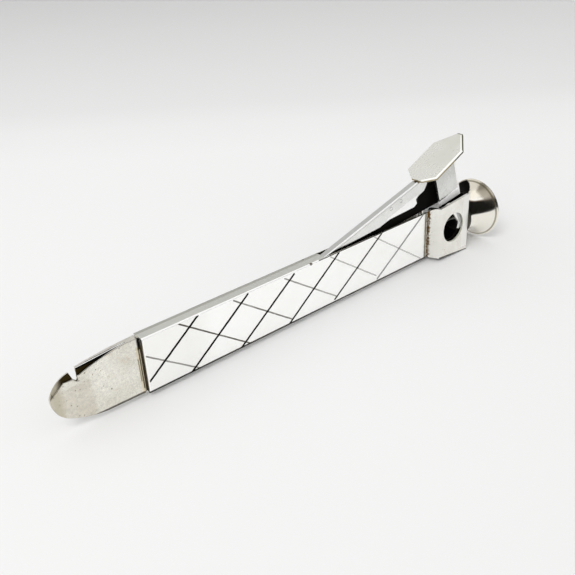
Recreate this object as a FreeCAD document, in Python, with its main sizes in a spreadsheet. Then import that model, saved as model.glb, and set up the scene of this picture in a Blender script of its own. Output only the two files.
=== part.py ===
import FreeCAD, Part
import math
import os
import Sketcher

V = FreeCAD.Vector

# A pocket cigar cutter with a lever. The model's own X starts at the left end of the
# engraved sleeve, Y = 0 is the middle plane and Z = 0 is the sleeve's bottom fold.
# Every piece is then shifted so that the origin lies under the middle of the whole object.

SIZES = {
    # engraved sleeve
    "sleeve_length": 96.9,
    "sleeve_height": 15.0,
    "sleeve_width": 3.8,
    "sleeve_sheet": 0.35,
    "sleeve_corner": 0.25,
    "roof_cover": 5.1,
    # side liners, spine and rivets inside the sleeve
    "liner_sheet": 0.4,
    "liner_inset": 0.5,
    "spine_height": 2.85,
    "rivet_radius": 0.7,
    "rivet_clearance": 0.03,
    "rivet_height": 1.9,
    "front_rivet_inset": 2.9,
    "middle_rivet_inset": 20.4,
    "rear_rivet_gap": 1.5,
    "tang_rivet_inset": 7.0,
    # opener tongue
    "tang_clear": 6.5,
    "tongue_reach": 22.6,
    "tongue_near": 0.75,
    "tongue_far": 1.15,
    "tongue_tip_half": 0.45,
    "tongue_taper_length": 16.0,
    "tongue_sheet": 0.3,
    "tongue_gap": 0.3,
    "tongue_fold": 0.55,
    "tongue_flat": 9.0,
    "chin_x": 19.3,
    "chin_z": 2.6,
    "chin_arc": 21.7,
    "tip_drop": 6.0,
    "tip_arc": 6.4,
    "brow_arc": 7.0,
    "notch_x": 15.65,
    "notch_width": 0.95,
    "notch_depth": 3.9,
    "notch_floor_slope": 0.3,
    "notch_point": 0.285,
    "notch_lean": 0.8,
    "far_edge_arc": 120.0,
    "far_edge_rear": 0.9,
    "far_edge_front": 1.4,
    "near_edge_start": 3.5,
    "near_edge_arc": 49.0,
    "near_edge_rear": 2.9,
    "near_edge_front": 3.3,
    "near_brow_x": 19.0,
    "near_brow_drop": 3.15,
    "roof_lip_y": 0.1,
    "roof_lip": 0.5,
    # head
    "head_length": 15.8,
    "head_half_width": 5.0,
    "head_wall": 0.55,
    "head_drop": 1.33,
    "head_rise": 2.28,
    "throat_rise": 0.95,
    "throat_drop": 0.12,
    "neck_length": 1.4,
    "flare_run": 1.3,
    "flare_inner_shift": 0.44,
    "throat_floor_length": 1.95,
    "throat_top_length": 0.78,
    "head_tang": 6.5,
    "hole_radius": 4.55,
    "hole_back": 6.8,
    "hole_rise": 0.77,
    "end_hole_radius": 4.4,
    # shear plate behind the side hole
    "shear_sheet": 0.55,
    "shear_top_drop": 0.6,
    "spacer_width": 0.8,
    # cup
    "bore_radius": 4.8,
    "cup_wall": 0.5,
    "cup_fit": 0.03,
    "cup_neck": 2.7,
    "cup_reach": 10.0,
    "rim_clear": 0.3,
    "ring_width": 0.5,
    "ring_length": 0.7,
    # lever
    "hole_ahead": 6.7,
    "pivot_drop": 3.4,
    "pin_radius": 0.8,
    "pin_running": 0.05,
    "lever_rest_angle": 16.0,
    "lever_width": 2.0,
    "lever_sheet": 0.4,
    "lever_top": 1.4,
    "lever_corner": 0.2,
    "lever_web_length": 44.2,
    "flange_overhang": 3.6,
    "lever_rear_flat": 5.83,
    "lever_waist_x": 10.6,
    "lever_waist": 0.9,
    "lever_belly_x": 26.8,
    "lever_belly_length": 4.2,
    "lever_belly": 4.3,
    "heel_setback": 6.8,
    "lever_heel": 6.6,
    "heel_tab_length": 1.4,
    "heel_tab_rise": 0.4,
    "heel_tab_lean": 0.05,
    "heel_tab_top": 1.85,
    "heel_step_length": 2.3,
    "heel_step_rise": 2.3,
    "nose_length": 1.7,
    "nose_depth": 4.0,
    "nose_front_depth": 2.6,
    # blade arm and what it carries
    "arm_start": 24.0,
    "arm_depth_start": 3.4,
    "arm_belly_x": 28.5,
    "arm_belly": 6.6,
    "arm_beyond": 5.7,
    "arm_front_depth": 10.75,
    "arm_end_inset": 0.6,
    "arm_rivet_x": 32.4,
    "arm_rivet_pitch": 4.2,
    "arm_rivet_depth": 0.1,
    "arm_rivet_radius": 0.5,
    "holder_gap": 2.0,
    "holder_length": 8.8,
    "holder_half_width": 2.3,
    "holder_depth": 3.4,
    "holder_floor": 0.8,
    "holder_rivet_depth": 0.75,
    "holder_rivet_radius": 0.6,
    "holder_rivet_inset": 2.2,
    "knife_thickness": 0.7,
    "knife_gap": 1.8,
    "knife_length": 9.6,
    "knife_rear_depth": 10.3,
    "knife_front_depth": 11.6,
    "knife_bevel": 2.6,
    "knife_side_bevel": 1.3,
    "knife_edge": 0.15,
    "knife_running": 0.1,
    "vee_beyond": 0.4,
    "vee_length": 2.7,
    "vee_half_width": 1.95,
    "vee_sheet": 0.7,
    "vee_rear_depth": 9.9,
    "vee_front_depth": 11.5,
    # thumb plate
    "plate_ahead": 7.4,
    "plate_height": 3.4,
    "plate_pitch": 8.9,
    "plate_length": 21.1,
    "plate_width": 10.8,
    "plate_thickness": 0.8,
    "plate_rear_half": 1.83,
    "plate_front_half": 0.81,
    "plate_rear_chamfer": 2.75,
    "plate_front_chamfer": 6.0,
    "plate_edge": 0.15,
    # leaf spring
    "spring_sheet": 0.4,
    "spring_half_width": 0.5,
    "spring_behind": 16.9,
    "spring_flat": 9.5,
    "spring_rise_length": 12.2,
    "spring_gap": 0.35,
    "spring_rivet_inset": 2.5,
    "spring_rivet_radius": 0.4,
    "spring_rivet_head": 0.25,
    "spring_rivet_head_radius": 0.72,
    # how far a cut runs past what it cuts
    "cut_past": 5.0,
}

doc = FreeCAD.newDocument("cigar_cutter")
dim = doc.addObject("Spreadsheet::Sheet", "dim")
for row, (alias, value) in enumerate(SIZES.items(), start=1):
    dim.set("A%d" % row, alias.replace("_", " "))
    dim.set("B%d" % row, str(value))
    dim.setAlias("B%d" % row, alias)
doc.recompute()


# Small tools for outlines

def number(expression):
    return float(dim.evalExpression(expression))


def plane(body, role):
    for feature in body.Origin.OriginFeatures:
        if feature.Role == role:
            return feature
    raise ValueError(role)


def arcMiddle(start, end, radius, outward):
    # the outline runs anticlockwise, so outward is to the right of the way it runs
    chord = end - start
    half = chord.Length / 2
    sagitta = radius - math.sqrt(radius * radius - half * half)
    side = V(chord.y, -chord.x, 0).normalize()
    if not outward:
        side = -side
    return (start + end) / 2 + side * sagitta


def drawOutline(sketch, points):
    # each point is (x, y) or (x, y, radius of the arc to the next point, "out" or "in")
    count = len(points)
    places = [V(number(p[0]), number(p[1]), 0) for p in points]
    ends = []
    for i, point in enumerate(points):
        start = places[i]
        end = places[(i + 1) % count]
        if len(point) == 4:
            middle = arcMiddle(start, end, number(point[2]), point[3] == "out")
            index = sketch.addGeometry(Part.Arc(start, middle, end), False)
            sketch.setExpression(
                "Constraints[%d]" % sketch.addConstraint(Sketcher.Constraint("Radius", index, number(point[2]))),
                point[2])
        else:
            index = sketch.addGeometry(Part.LineSegment(start, end), False)
        first = sketch.getPoint(index, 1)
        ends.append((index, 1, 2) if (first - start).Length < 1e-6 else (index, 2, 1))
    for i in range(count):
        index, _, last = ends[i]
        following, first, _ = ends[(i + 1) % count]
        sketch.addConstraint(Sketcher.Constraint("Coincident", index, last, following, first))
    for i, point in enumerate(points):
        index, first, _ = ends[i]
        for kind, expression in (("DistanceX", point[0]), ("DistanceY", point[1])):
            constraint = Sketcher.Constraint(kind, -1, 1, index, first, number(expression))
            sketch.setExpression("Constraints[%d]" % sketch.addConstraint(constraint), expression)


def drawCircle(sketch, centre, radius):
    middle = V(number(centre[0]), number(centre[1]), 0)
    index = sketch.addGeometry(Part.Circle(middle, V(0, 0, 1), number(radius)), False)
    for kind, expression in (("DistanceX", centre[0]), ("DistanceY", centre[1])):
        constraint = Sketcher.Constraint(kind, -1, 1, index, 3, number(expression))
        sketch.setExpression("Constraints[%d]" % sketch.addConstraint(constraint), expression)
    constraint = sketch.addConstraint(Sketcher.Constraint("Radius", index, number(radius)))
    sketch.setExpression("Constraints[%d]" % constraint, radius)


def newSketch(body, role, offset):
    sketch = body.newObject("Sketcher::SketchObject", body.Name + "_outline")
    sketch.AttachmentSupport = [(plane(body, role), "")]
    sketch.MapMode = "FlatFace"
    sketch.setExpression("AttachmentOffset.Base.z", offset)
    return sketch


def prism(body, kind, role, low, high, outlines=(), circles=()):
    # a pad or pocket between two levels along the plane's own axis; the XZ plane faces -Y
    offset = "-(%s)" % high if role == "XZ_Plane" else low
    sketch = newSketch(body, role, offset)
    for points in outlines:
        drawOutline(sketch, points)
    for centre, radius in circles:
        drawCircle(sketch, centre, radius)
    feature = body.newObject("PartDesign::" + kind, body.Name + "_" + kind.lower())
    feature.Profile = sketch
    if kind == "Pocket":
        feature.Reversed = True
    feature.setExpression("Length", "(%s) - (%s)" % (high, low))
    doc.recompute()
    return feature


def newBody(name):
    body = doc.addObject("PartDesign::Body", name)
    body.Label = name
    return body


def box(x0, y0, x1, y1):
    return [(x0, y0), (x1, y0), (x1, y1), (x0, y1)]


def soften(body, radius, wanted):
    # a small round on the edges that the test picks
    edges = []
    for i, edge in enumerate(body.Shape.Edges, start=1):
        if wanted(edge):
            edges.append("Edge%d" % i)
    base = body.Tip
    fillet = body.newObject("PartDesign::Fillet", body.Name + "_fillet")
    fillet.Base = (base, edges)
    fillet.setExpression("Radius", radius)
    body.Tip = fillet
    doc.recompute()


# Places that several pieces share

SHIFT_X = "((dim.tongue_reach - dim.sleeve_length - dim.head_length - dim.cup_reach) / 2)"
SHIFT_Z = "dim.head_drop"
INNER_TOP = "(dim.sleeve_height - dim.sleeve_sheet)"
LINER_OUTER = "(dim.sleeve_width / 2 - dim.sleeve_sheet)"
LINER_INNER = "(dim.sleeve_width / 2 - dim.sleeve_sheet - dim.liner_sheet)"
SPINE_TOP = "(dim.sleeve_sheet + dim.spine_height)"
LINER_END = "(dim.sleeve_length - dim.head_tang)"
FLARE_X = "(dim.sleeve_length + dim.neck_length)"
HEAD_END = "(dim.sleeve_length + dim.head_length)"
HEAD_INNER_END = "(dim.sleeve_length + dim.head_length - dim.head_wall)"
HEAD_INNER = "(dim.head_half_width - dim.head_wall)"
HOLE_X = "(dim.sleeve_length + dim.head_length - dim.hole_back)"
HOLE_Z = "(dim.sleeve_height / 2 + dim.hole_rise)"
SHEAR_TOP = "(dim.sleeve_height - dim.shear_top_drop)"
NECK_RADIUS = "(dim.bore_radius + dim.cup_wall)"
LEVER_HALF = "(dim.lever_width / 2)"
ARM_HALF = "(dim.lever_width / 2 - dim.lever_sheet)"
KNIFE_BACK = "(-dim.holder_half_width)"
KNIFE_FACE = "(-dim.holder_half_width - dim.knife_thickness)"
SHEAR_FACE = "(-dim.holder_half_width - dim.knife_thickness - dim.knife_running)"
SHEAR_BACK = "(-dim.holder_half_width - dim.knife_thickness - dim.knife_running - dim.shear_sheet)"
LEVER_END = "(dim.lever_web_length + dim.flange_overhang)"
HEEL_X = "(%s - dim.heel_setback)" % LEVER_END
HOLDER_START = "(%s + dim.holder_gap)" % LEVER_END
HOLDER_END = "(%s + dim.holder_length)" % HOLDER_START
HOLDER_FLOOR = "(-dim.holder_depth + dim.holder_floor)"
ARM_NOSE = "(%s + dim.arm_beyond)" % LEVER_END
PLATE_CENTRE = "(%s + dim.plate_ahead)" % LEVER_END
PIVOT_X = "(%s - %s - dim.hole_ahead)" % (HOLE_X, LEVER_END)
PIVOT_Z = "(dim.sleeve_height - dim.pivot_drop)"
SPRING_START = "(%s - dim.spring_behind)" % PIVOT_X
TANG_END = "(%s - dim.tang_clear)" % SPRING_START
CUP_RIM = "(%s + dim.head_drop - dim.rim_clear)" % HOLE_Z
CUT_PAST = "dim.cut_past"


def underPlate(along):
    # height of the thumb plate's underside over the lever's own axis
    return ("(dim.plate_height - dim.plate_thickness / cos(dim.plate_pitch * 1 deg)"
            " + (%s - %s) * tan(dim.plate_pitch * 1 deg))" % (along, PLATE_CENTRE))


def placeFixed(piece, height="0"):
    piece.setExpression("Placement.Base.x", SHIFT_X)
    piece.setExpression("Placement.Base.z", SHIFT_Z + " + " + height)


def placeOnLever(piece, along="0", above="0", pitch="0"):
    # the lever's pieces are drawn with the lever level, then turned up about its pin
    rest = "dim.lever_rest_angle * 1 deg"
    piece.Placement = FreeCAD.Placement(V(0, 0, 0), FreeCAD.Rotation(V(0, -1, 0), number("dim.lever_rest_angle")))
    piece.setExpression("Placement.Rotation.Angle", "(dim.lever_rest_angle + %s) * 1 deg" % pitch)
    piece.setExpression(
        "Placement.Base.x",
        "%s + %s + %s * cos(%s) - %s * sin(%s)" % (SHIFT_X, PIVOT_X, along, rest, above, rest))
    piece.setExpression(
        "Placement.Base.z",
        "%s + %s + %s * sin(%s) + %s * cos(%s)" % (SHIFT_Z, PIVOT_Z, along, rest, above, rest))


def crossPins(name, places, radius, low, high):
    # round pins that run along Y, one solid each
    pins = []
    for i, (x, z) in enumerate(places):
        pin = doc.addObject("Part::Cylinder", "%s_%d" % (name, i + 1))
        pin.Placement = FreeCAD.Placement(V(0, 0, 0), FreeCAD.Rotation(V(1, 0, 0), -90))
        pin.setExpression("Radius", radius)
        pin.setExpression("Height", "(%s) - (%s)" % (high, low))
        pin.setExpression("Placement.Base.x", x)
        pin.setExpression("Placement.Base.y", low)
        pin.setExpression("Placement.Base.z", z)
        pins.append(pin)
    group = doc.addObject("Part::Compound", name)
    group.Label = name
    group.Links = pins
    return group


# Engraved sleeve: folded sheet, closed on top as far as the lever's slot

def makeSleeve():
    body = newBody("engraved_sleeve")
    half = "dim.sleeve_width / 2"
    inner = LINER_OUTER
    prism(body, "Pad", "YZ_Plane", "0", "dim.sleeve_length",
          [box("-" + half, "0", half, "dim.sleeve_height")])
    soften(body, "dim.sleeve_corner", lambda e: e.BoundBox.XLength > SIZES["sleeve_length"] * 0.9)
    prism(body, "Pocket", "YZ_Plane", "-" + CUT_PAST, "dim.sleeve_length + " + CUT_PAST,
          [box("-" + inner, "dim.sleeve_sheet", inner, INNER_TOP)])
    prism(body, "Pocket", "XY_Plane", INNER_TOP, "dim.sleeve_height + " + CUT_PAST,
          [box(PIVOT_X + " + dim.roof_cover", "-" + inner, "dim.sleeve_length + " + CUT_PAST, inner)])
    placeFixed(body)
    return body


TANG_RIVETS = [("dim.tang_rivet_inset", "(dim.sleeve_height / 2)"),
               ("(%s - dim.tang_rivet_inset)" % TANG_END, "(dim.sleeve_height / 2)")]
SPINE_RIVETS = [("(%s - dim.rear_rivet_gap)" % SPRING_START, "dim.rivet_height"),
                ("(%s - dim.middle_rivet_inset)" % LINER_END, "dim.rivet_height")]
HEAD_RIVETS = [("(dim.sleeve_length - dim.front_rivet_inset)", "dim.rivet_height")]
RIVET_HOLE = "(dim.rivet_radius + dim.rivet_clearance)"


def rivetHoles(places):
    return [(place, RIVET_HOLE) for place in places]


# Liners: the two plates that the sleeve wraps

def makeLiner(name, low, high):
    body = newBody(name)
    prism(body, "Pad", "XZ_Plane", low, high,
          [box("dim.liner_inset", "dim.sleeve_sheet", LINER_END, INNER_TOP)],
          rivetHoles(TANG_RIVETS + SPINE_RIVETS)
          + [((PIVOT_X, PIVOT_Z), "(dim.pin_radius + dim.rivet_clearance)")])
    placeFixed(body)
    return body


# Spine: the bar along the bottom between the liners, up to the head's flare

def makeSpine():
    body = newBody("spine_bar")
    rear = "(%s + dim.liner_inset)" % TANG_END
    prism(body, "Pad", "XZ_Plane", "-" + LINER_INNER, LINER_INNER,
          [box(rear, "dim.sleeve_sheet", FLARE_X, SPINE_TOP)],
          rivetHoles(SPINE_RIVETS + HEAD_RIVETS))
    prism(body, "Pocket", "XY_Plane", "-" + CUT_PAST, SPINE_TOP + " + " + CUT_PAST, [],
          [((SPRING_START + " + dim.spring_rivet_inset", "0"),
            "(dim.spring_rivet_radius + dim.rivet_clearance)")])
    placeFixed(body)
    return body


# Opener tongue: one sheet folded along its bottom and tip, with a nail notch through both walls.
# Its upper edges are measured down from the sleeve's top.

def makeTongue():
    body = newBody("tongue_blank")
    high = "dim.sleeve_height"
    back = "(-dim.liner_inset)"
    tip = "-dim.tongue_reach"
    tipZ = high + " - dim.tip_drop"
    farRear = high + " - dim.far_edge_rear"
    farFront = high + " - dim.far_edge_front"
    notchFloor = high + " - dim.notch_depth"
    notchFront = "(-dim.notch_x - dim.notch_width)"
    prism(body, "Pad", "XZ_Plane", "-dim.tongue_near", "dim.tongue_far", [[
        (back, "0"),
        (back, "dim.sleeve_sheet"),
        (TANG_END, "dim.sleeve_sheet"),
        (TANG_END, INNER_TOP),
        (back, INNER_TOP),
        (back, high, "dim.far_edge_arc", "out"),
        ("-dim.notch_x", farRear),
        (notchFront, farFront, "dim.brow_arc", "out"),
        (tip, tipZ, "dim.tip_arc", "out"),
        ("-dim.chin_x", "dim.chin_z", "dim.chin_arc", "out"),
        ("-dim.tongue_flat", "0"),
    ]], rivetHoles(TANG_RIVETS))
    # in plan the tongue thins towards the notch and stays thin to its tip
    taperEnd = "-dim.tongue_taper_length"
    near = "-dim.tongue_near"
    far = "dim.tongue_far"
    trimToPlan(body, taperEnd, near, far, "dim.tongue_tip_half")
    # the near wall's upper edge curves down to the notch and rises little beyond it
    above = high + " + " + CUT_PAST
    past = "(%s - %s)" % (tip, CUT_PAST)
    prism(body, "Pocket", "XZ_Plane", "2 * " + near, "-dim.roof_lip_y", [[
        ("-dim.near_edge_start", above),
        (past, above),
        (past, tipZ),
        (tip, tipZ),
        ("-dim.near_brow_x", high + " - dim.near_brow_drop"),
        (notchFront, high + " - dim.near_edge_front"),
        ("-dim.notch_x", high + " - dim.near_edge_rear", "dim.near_edge_arc", "in"),
        ("-dim.near_edge_start", high),
    ]])
    # the nail notch
    prism(body, "Pocket", "XZ_Plane", "2 * " + near, "2 * " + far, [[
        ("-dim.notch_x", notchFloor),
        ("-dim.notch_x", above),
        (notchFront + " - dim.notch_lean", above),
        (notchFront + " - dim.notch_lean", farFront),
        (notchFront, notchFloor + " + dim.notch_floor_slope"),
        ("-dim.notch_x - dim.notch_point", notchFloor + " - dim.notch_floor_slope"),
    ]])
    # the space between the two walls, roofed only on the sleeve's side of the notch
    space = newBody("tongue_space")
    fold = "dim.tongue_fold"
    roof = "dim.roof_lip"
    prism(space, "Pad", "XZ_Plane", "2 * " + near, "2 * " + far, [[
        ("dim.liner_inset", "2 * " + fold),
        ("dim.liner_inset", high + " - " + roof),
        ("-dim.notch_x", farRear + " - " + roof),
        ("-dim.notch_x", above),
        (tip + " + " + fold, above),
        (tip + " + " + fold, tipZ, "dim.tip_arc - 0.2 * " + fold, "out"),
        ("-dim.chin_x + 0.5 * " + fold, "dim.chin_z + 0.9 * " + fold, "dim.chin_arc", "out"),
        ("-dim.tongue_flat", fold),
    ]])
    sheet = "dim.tongue_sheet"
    trimToPlan(space, taperEnd, near + " + " + sheet, far + " - " + sheet, "dim.tongue_gap / 2")
    tongue = doc.addObject("Part::Cut", "opener_tongue")
    tongue.Label = "opener_tongue"
    tongue.Base = body
    tongue.Tool = space
    placeFixed(tongue)
    return tongue


def trimToPlan(body, taperEnd, near, far, tipHalf):
    # cuts away what lies outside the tongue's plan outline
    back = TANG_END
    front = "-dim.tongue_reach"
    wide = "2 * dim.sleeve_width"
    edge = "%s / 2" % CUT_PAST
    outside = box("%s - %s" % (front, CUT_PAST), "-" + wide, "%s + %s" % (back, CUT_PAST), wide)
    inside = [
        ("%s - %s" % (front, edge), "-(%s)" % tipHalf),
        (taperEnd, "-(%s)" % tipHalf),
        ("0", near),
        ("%s + %s" % (back, edge), near),
        ("%s + %s" % (back, edge), far),
        ("0", far),
        (taperEnd, tipHalf),
        ("%s - %s" % (front, edge), tipHalf),
    ]
    prism(body, "Pocket", "XY_Plane", "-" + CUT_PAST, "dim.sleeve_height + " + CUT_PAST, [outside, inside])


# Shim that fills the channel beside the tongue's tang

def makeShim():
    body = newBody("tang_shim")
    prism(body, "Pad", "XZ_Plane", "-" + LINER_INNER, "-dim.tongue_near",
          [box("dim.liner_inset", "dim.sleeve_sheet", TANG_END, INNER_TOP)],
          rivetHoles(TANG_RIVETS))
    placeFixed(body)
    return body


# Head: walls that flare out of the sleeve, an end wall, open above and below

def makeHead():
    body = newBody("cutter_head")
    half = "dim.head_half_width"
    sleeveHalf = "dim.sleeve_width / 2"
    flareEnd = "(%s + dim.flare_run)" % FLARE_X
    walls = [
        (LINER_END, "-" + LINER_OUTER),
        (FLARE_X, "-" + LINER_OUTER),
        (FLARE_X, "-" + sleeveHalf),
        (flareEnd, "-" + half),
        (HEAD_END, "-" + half),
        (HEAD_END, half),
        (flareEnd, half),
        (FLARE_X, sleeveHalf),
        (FLARE_X, LINER_OUTER),
        (LINER_END, LINER_OUTER),
        (LINER_END, LINER_INNER),
        (FLARE_X + " + dim.head_wall", LINER_INNER),
        (flareEnd + " + dim.flare_inner_shift", HEAD_INNER),
        (HEAD_INNER_END, HEAD_INNER),
        (HEAD_INNER_END, "-" + HEAD_INNER),
        (flareEnd + " + dim.flare_inner_shift", "-" + HEAD_INNER),
        (FLARE_X + " + dim.head_wall", "-" + LINER_INNER),
        (LINER_END, "-" + LINER_INNER),
    ]
    prism(body, "Pad", "XY_Plane", "-" + CUT_PAST, "dim.sleeve_height + " + CUT_PAST, [walls])
    prism(body, "Pocket", "XZ_Plane", "-2 * " + half, "2 * " + half, [
        box("dim.sleeve_length - 2 * dim.head_tang", "-2 * " + CUT_PAST, HEAD_END + " + " + CUT_PAST,
            "dim.sleeve_height + 2 * " + CUT_PAST), [
            (LINER_END, "dim.sleeve_sheet"),
            (FLARE_X, "dim.sleeve_sheet"),
            (FLARE_X, "-dim.throat_drop"),
            (FLARE_X + " + dim.throat_floor_length", "-dim.throat_drop"),
            (HEAD_END, "-dim.head_drop"),
            (HEAD_END, "dim.sleeve_height + dim.head_rise"),
            (FLARE_X + " + dim.throat_top_length", "dim.sleeve_height + dim.throat_rise"),
            (FLARE_X, "dim.sleeve_height + dim.throat_drop"),
            (FLARE_X, INNER_TOP),
            (LINER_END, INNER_TOP),
        ]])
    prism(body, "Pocket", "XZ_Plane", "-2 * " + half, "0", [],
          [((HOLE_X, HOLE_Z), "dim.hole_radius")])
    prism(body, "Pocket", "YZ_Plane", HEAD_INNER_END, HEAD_END, [],
          [(("0", HOLE_Z), "dim.end_hole_radius")])
    prism(body, "Pocket", "XZ_Plane", "-" + half, half, [], rivetHoles(HEAD_RIVETS))
    placeFixed(body)
    return body


# Shear plate that the straight knife slides past, and the bars that space it from the near wall

def makeShearPlate():
    body = newBody("shear_plate")
    rear = "(%s - dim.hole_radius - dim.spacer_width)" % HOLE_X
    prism(body, "Pad", "XZ_Plane", SHEAR_BACK, SHEAR_FACE,
          [box(rear, "0", HEAD_INNER_END, SHEAR_TOP)],
          [((HOLE_X, HOLE_Z), "dim.hole_radius")])
    placeFixed(body)
    return body


def makeShearSpacers():
    rear = "(%s - dim.hole_radius - dim.spacer_width)" % HOLE_X
    bars = []
    for i, start in enumerate((rear, "(%s - dim.spacer_width)" % HEAD_INNER_END)):
        bar = doc.addObject("Part::Box", "spacer_%d" % (i + 1))
        bar.setExpression("Length", "dim.spacer_width")
        bar.setExpression("Width", "(%s) - (-%s)" % (SHEAR_BACK, HEAD_INNER))
        bar.setExpression("Height", SHEAR_TOP)
        bar.setExpression("Placement.Base.x", start)
        bar.setExpression("Placement.Base.y", "-" + HEAD_INNER)
        bars.append(bar)
    group = doc.addObject("Part::Compound", "shear_plate_spacers")
    group.Label = "shear_plate_spacers"
    group.Links = bars
    placeFixed(group)
    return group


def flareArc(start, radius, end):
    # radius of the arc that leaves a straight neck smoothly and reaches the rim
    run = "(%s - %s)" % (end[0], start)
    rise = "(%s - %s)" % (end[1], radius)
    return "((%s ^ 2 + %s ^ 2) / (2 * %s))" % (run, rise, rise)


# Trumpet-shaped cup on the end wall, turned about the bore's axis. Its rim is rounded by shares of its wall.

def makeCup():
    body = newBody("trumpet_cup")
    wall = "dim.cup_wall"
    flareX = "(%s + dim.cup_neck)" % HEAD_END
    rimX = "(%s + dim.cup_reach - 0.2 * %s)" % (HEAD_END, wall)
    rim = "(%s - 0.125 * %s)" % (CUP_RIM, wall)
    outerEnd = (rimX + " - 0.6 * " + wall, rim)
    innerEnd = (rimX, rim + " - 0.75 * " + wall)
    sketch = newSketch(body, "XZ_Plane", "0")
    drawOutline(sketch, [
        (HEAD_END, "dim.bore_radius"),
        (flareX, "dim.bore_radius", flareArc(flareX, "dim.bore_radius", innerEnd), "out"),
        innerEnd + ("0.5 * " + wall, "out"),
        outerEnd + (flareArc(flareX, NECK_RADIUS, outerEnd), "in"),
        (flareX, NECK_RADIUS),
        (HEAD_END, NECK_RADIUS),
    ])
    turn = body.newObject("PartDesign::Revolution", "cup_turning")
    turn.Profile = sketch
    turn.ReferenceAxis = (sketch, ["H_Axis"])
    turn.Angle = 360
    doc.recompute()
    placeFixed(body, HOLE_Z)
    return body


# Ring that holds the cup's neck on the head's end face

def makeCupRing():
    body = newBody("cup_ring")
    prism(body, "Pad", "YZ_Plane", HEAD_END, HEAD_END + " + dim.ring_length", [],
          [(("0", "0"), "(%s + dim.cup_fit + dim.ring_width)" % NECK_RADIUS),
           (("0", "0"), "(%s + dim.cup_fit)" % NECK_RADIUS)])
    placeFixed(body, HOLE_Z)
    return body


# Lever: an inverted channel on the pin, with deep flanges towards its front

def makeLever():
    body = newBody("lever")
    top = "dim.lever_top"
    heel = top + " - dim.lever_heel"
    prism(body, "Pad", "XZ_Plane", "-" + LEVER_HALF, LEVER_HALF, [[
        ("0", "-" + top),
        ("dim.lever_rear_flat", "-" + top),
        ("dim.lever_waist_x", top + " - dim.lever_waist"),
        ("dim.lever_belly_x", top + " - dim.lever_belly"),
        ("dim.lever_belly_x + dim.lever_belly_length", top + " - dim.lever_belly"),
        (HEEL_X, heel),
        (HEEL_X + " + dim.heel_tab_length", heel + " + dim.heel_tab_rise"),
        (HEEL_X + " + dim.heel_tab_length - dim.heel_tab_lean", heel + " + dim.heel_tab_top"),
        (HEEL_X + " + dim.heel_step_length", heel + " + dim.heel_step_rise"),
        (LEVER_END + " - dim.nose_length", top + " - dim.nose_depth"),
        (LEVER_END, top + " - dim.nose_front_depth"),
        (LEVER_END, underPlate(LEVER_END)),
        ("dim.lever_web_length", underPlate("dim.lever_web_length")),
        ("dim.lever_web_length", top),
        ("0", top, top, "out"),
        ("-" + top, "0", top, "out"),
    ]])
    soften(body, "dim.lever_corner",
           lambda e: e.BoundBox.XLength > SIZES["lever_web_length"] * 0.9 and e.BoundBox.ZMin > 0)
    prism(body, "Pocket", "XZ_Plane", "-" + ARM_HALF, ARM_HALF, [[
        ("-2 * " + top, "-3 * dim.lever_heel"),
        ("%s + %s" % (LEVER_END, CUT_PAST), "-3 * dim.lever_heel"),
        ("%s + %s" % (LEVER_END, CUT_PAST), "3 * " + top),
        ("dim.lever_web_length - dim.lever_sheet", "3 * " + top),
        ("dim.lever_web_length - dim.lever_sheet", top + " - dim.lever_sheet"),
        ("-2 * " + top, top + " - dim.lever_sheet"),
    ]])
    prism(body, "Pocket", "XZ_Plane", "-" + LEVER_HALF, LEVER_HALF, [],
          [(("0", "0"), "(dim.pin_radius + dim.pin_running)")] + armRivetHoles())
    placeOnLever(body)
    return body


ARM_RIVETS = [("dim.arm_rivet_x", "-dim.arm_rivet_depth"),
              ("(dim.arm_rivet_x + dim.arm_rivet_pitch)", "-dim.arm_rivet_depth")]


def armRivetHoles():
    return [(place, "(dim.arm_rivet_radius + dim.rivet_clearance)") for place in ARM_RIVETS]


HOLDER_RIVETS = [(HOLDER_START + " + dim.holder_rivet_inset", "dim.holder_rivet_depth"),
                 (HOLDER_END + " - dim.holder_rivet_inset", "dim.holder_rivet_depth")]


def holderRivetHoles():
    return [(place, "(dim.holder_rivet_radius + dim.rivet_clearance)") for place in HOLDER_RIVETS]


# Blade arm: the thick bar between the lever's flanges that reaches over the head

def makeArm():
    body = newBody("blade_arm")
    webUnder = "dim.lever_top - dim.lever_sheet"
    front = "(%s - dim.arm_end_inset)" % HOLDER_END
    turnX = "(dim.lever_web_length + dim.lever_sheet)"
    prism(body, "Pad", "XZ_Plane", "-" + ARM_HALF, ARM_HALF, [[
        ("dim.arm_start", webUnder + " - dim.arm_depth_start"),
        ("dim.arm_belly_x", webUnder + " - dim.arm_belly"),
        (ARM_NOSE, "-dim.arm_front_depth"),
        (ARM_NOSE, HOLDER_FLOOR),
        (front, HOLDER_FLOOR),
        (front, underPlate(front)),
        (turnX, underPlate(turnX)),
        ("dim.lever_web_length - dim.lever_sheet", webUnder),
        ("dim.arm_start", webUnder),
    ]], armRivetHoles() + holderRivetHoles())
    placeOnLever(body)
    return body


# Blade holder: a block slotted over the arm, under the thumb plate, closed below ahead of the arm's nose

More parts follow.
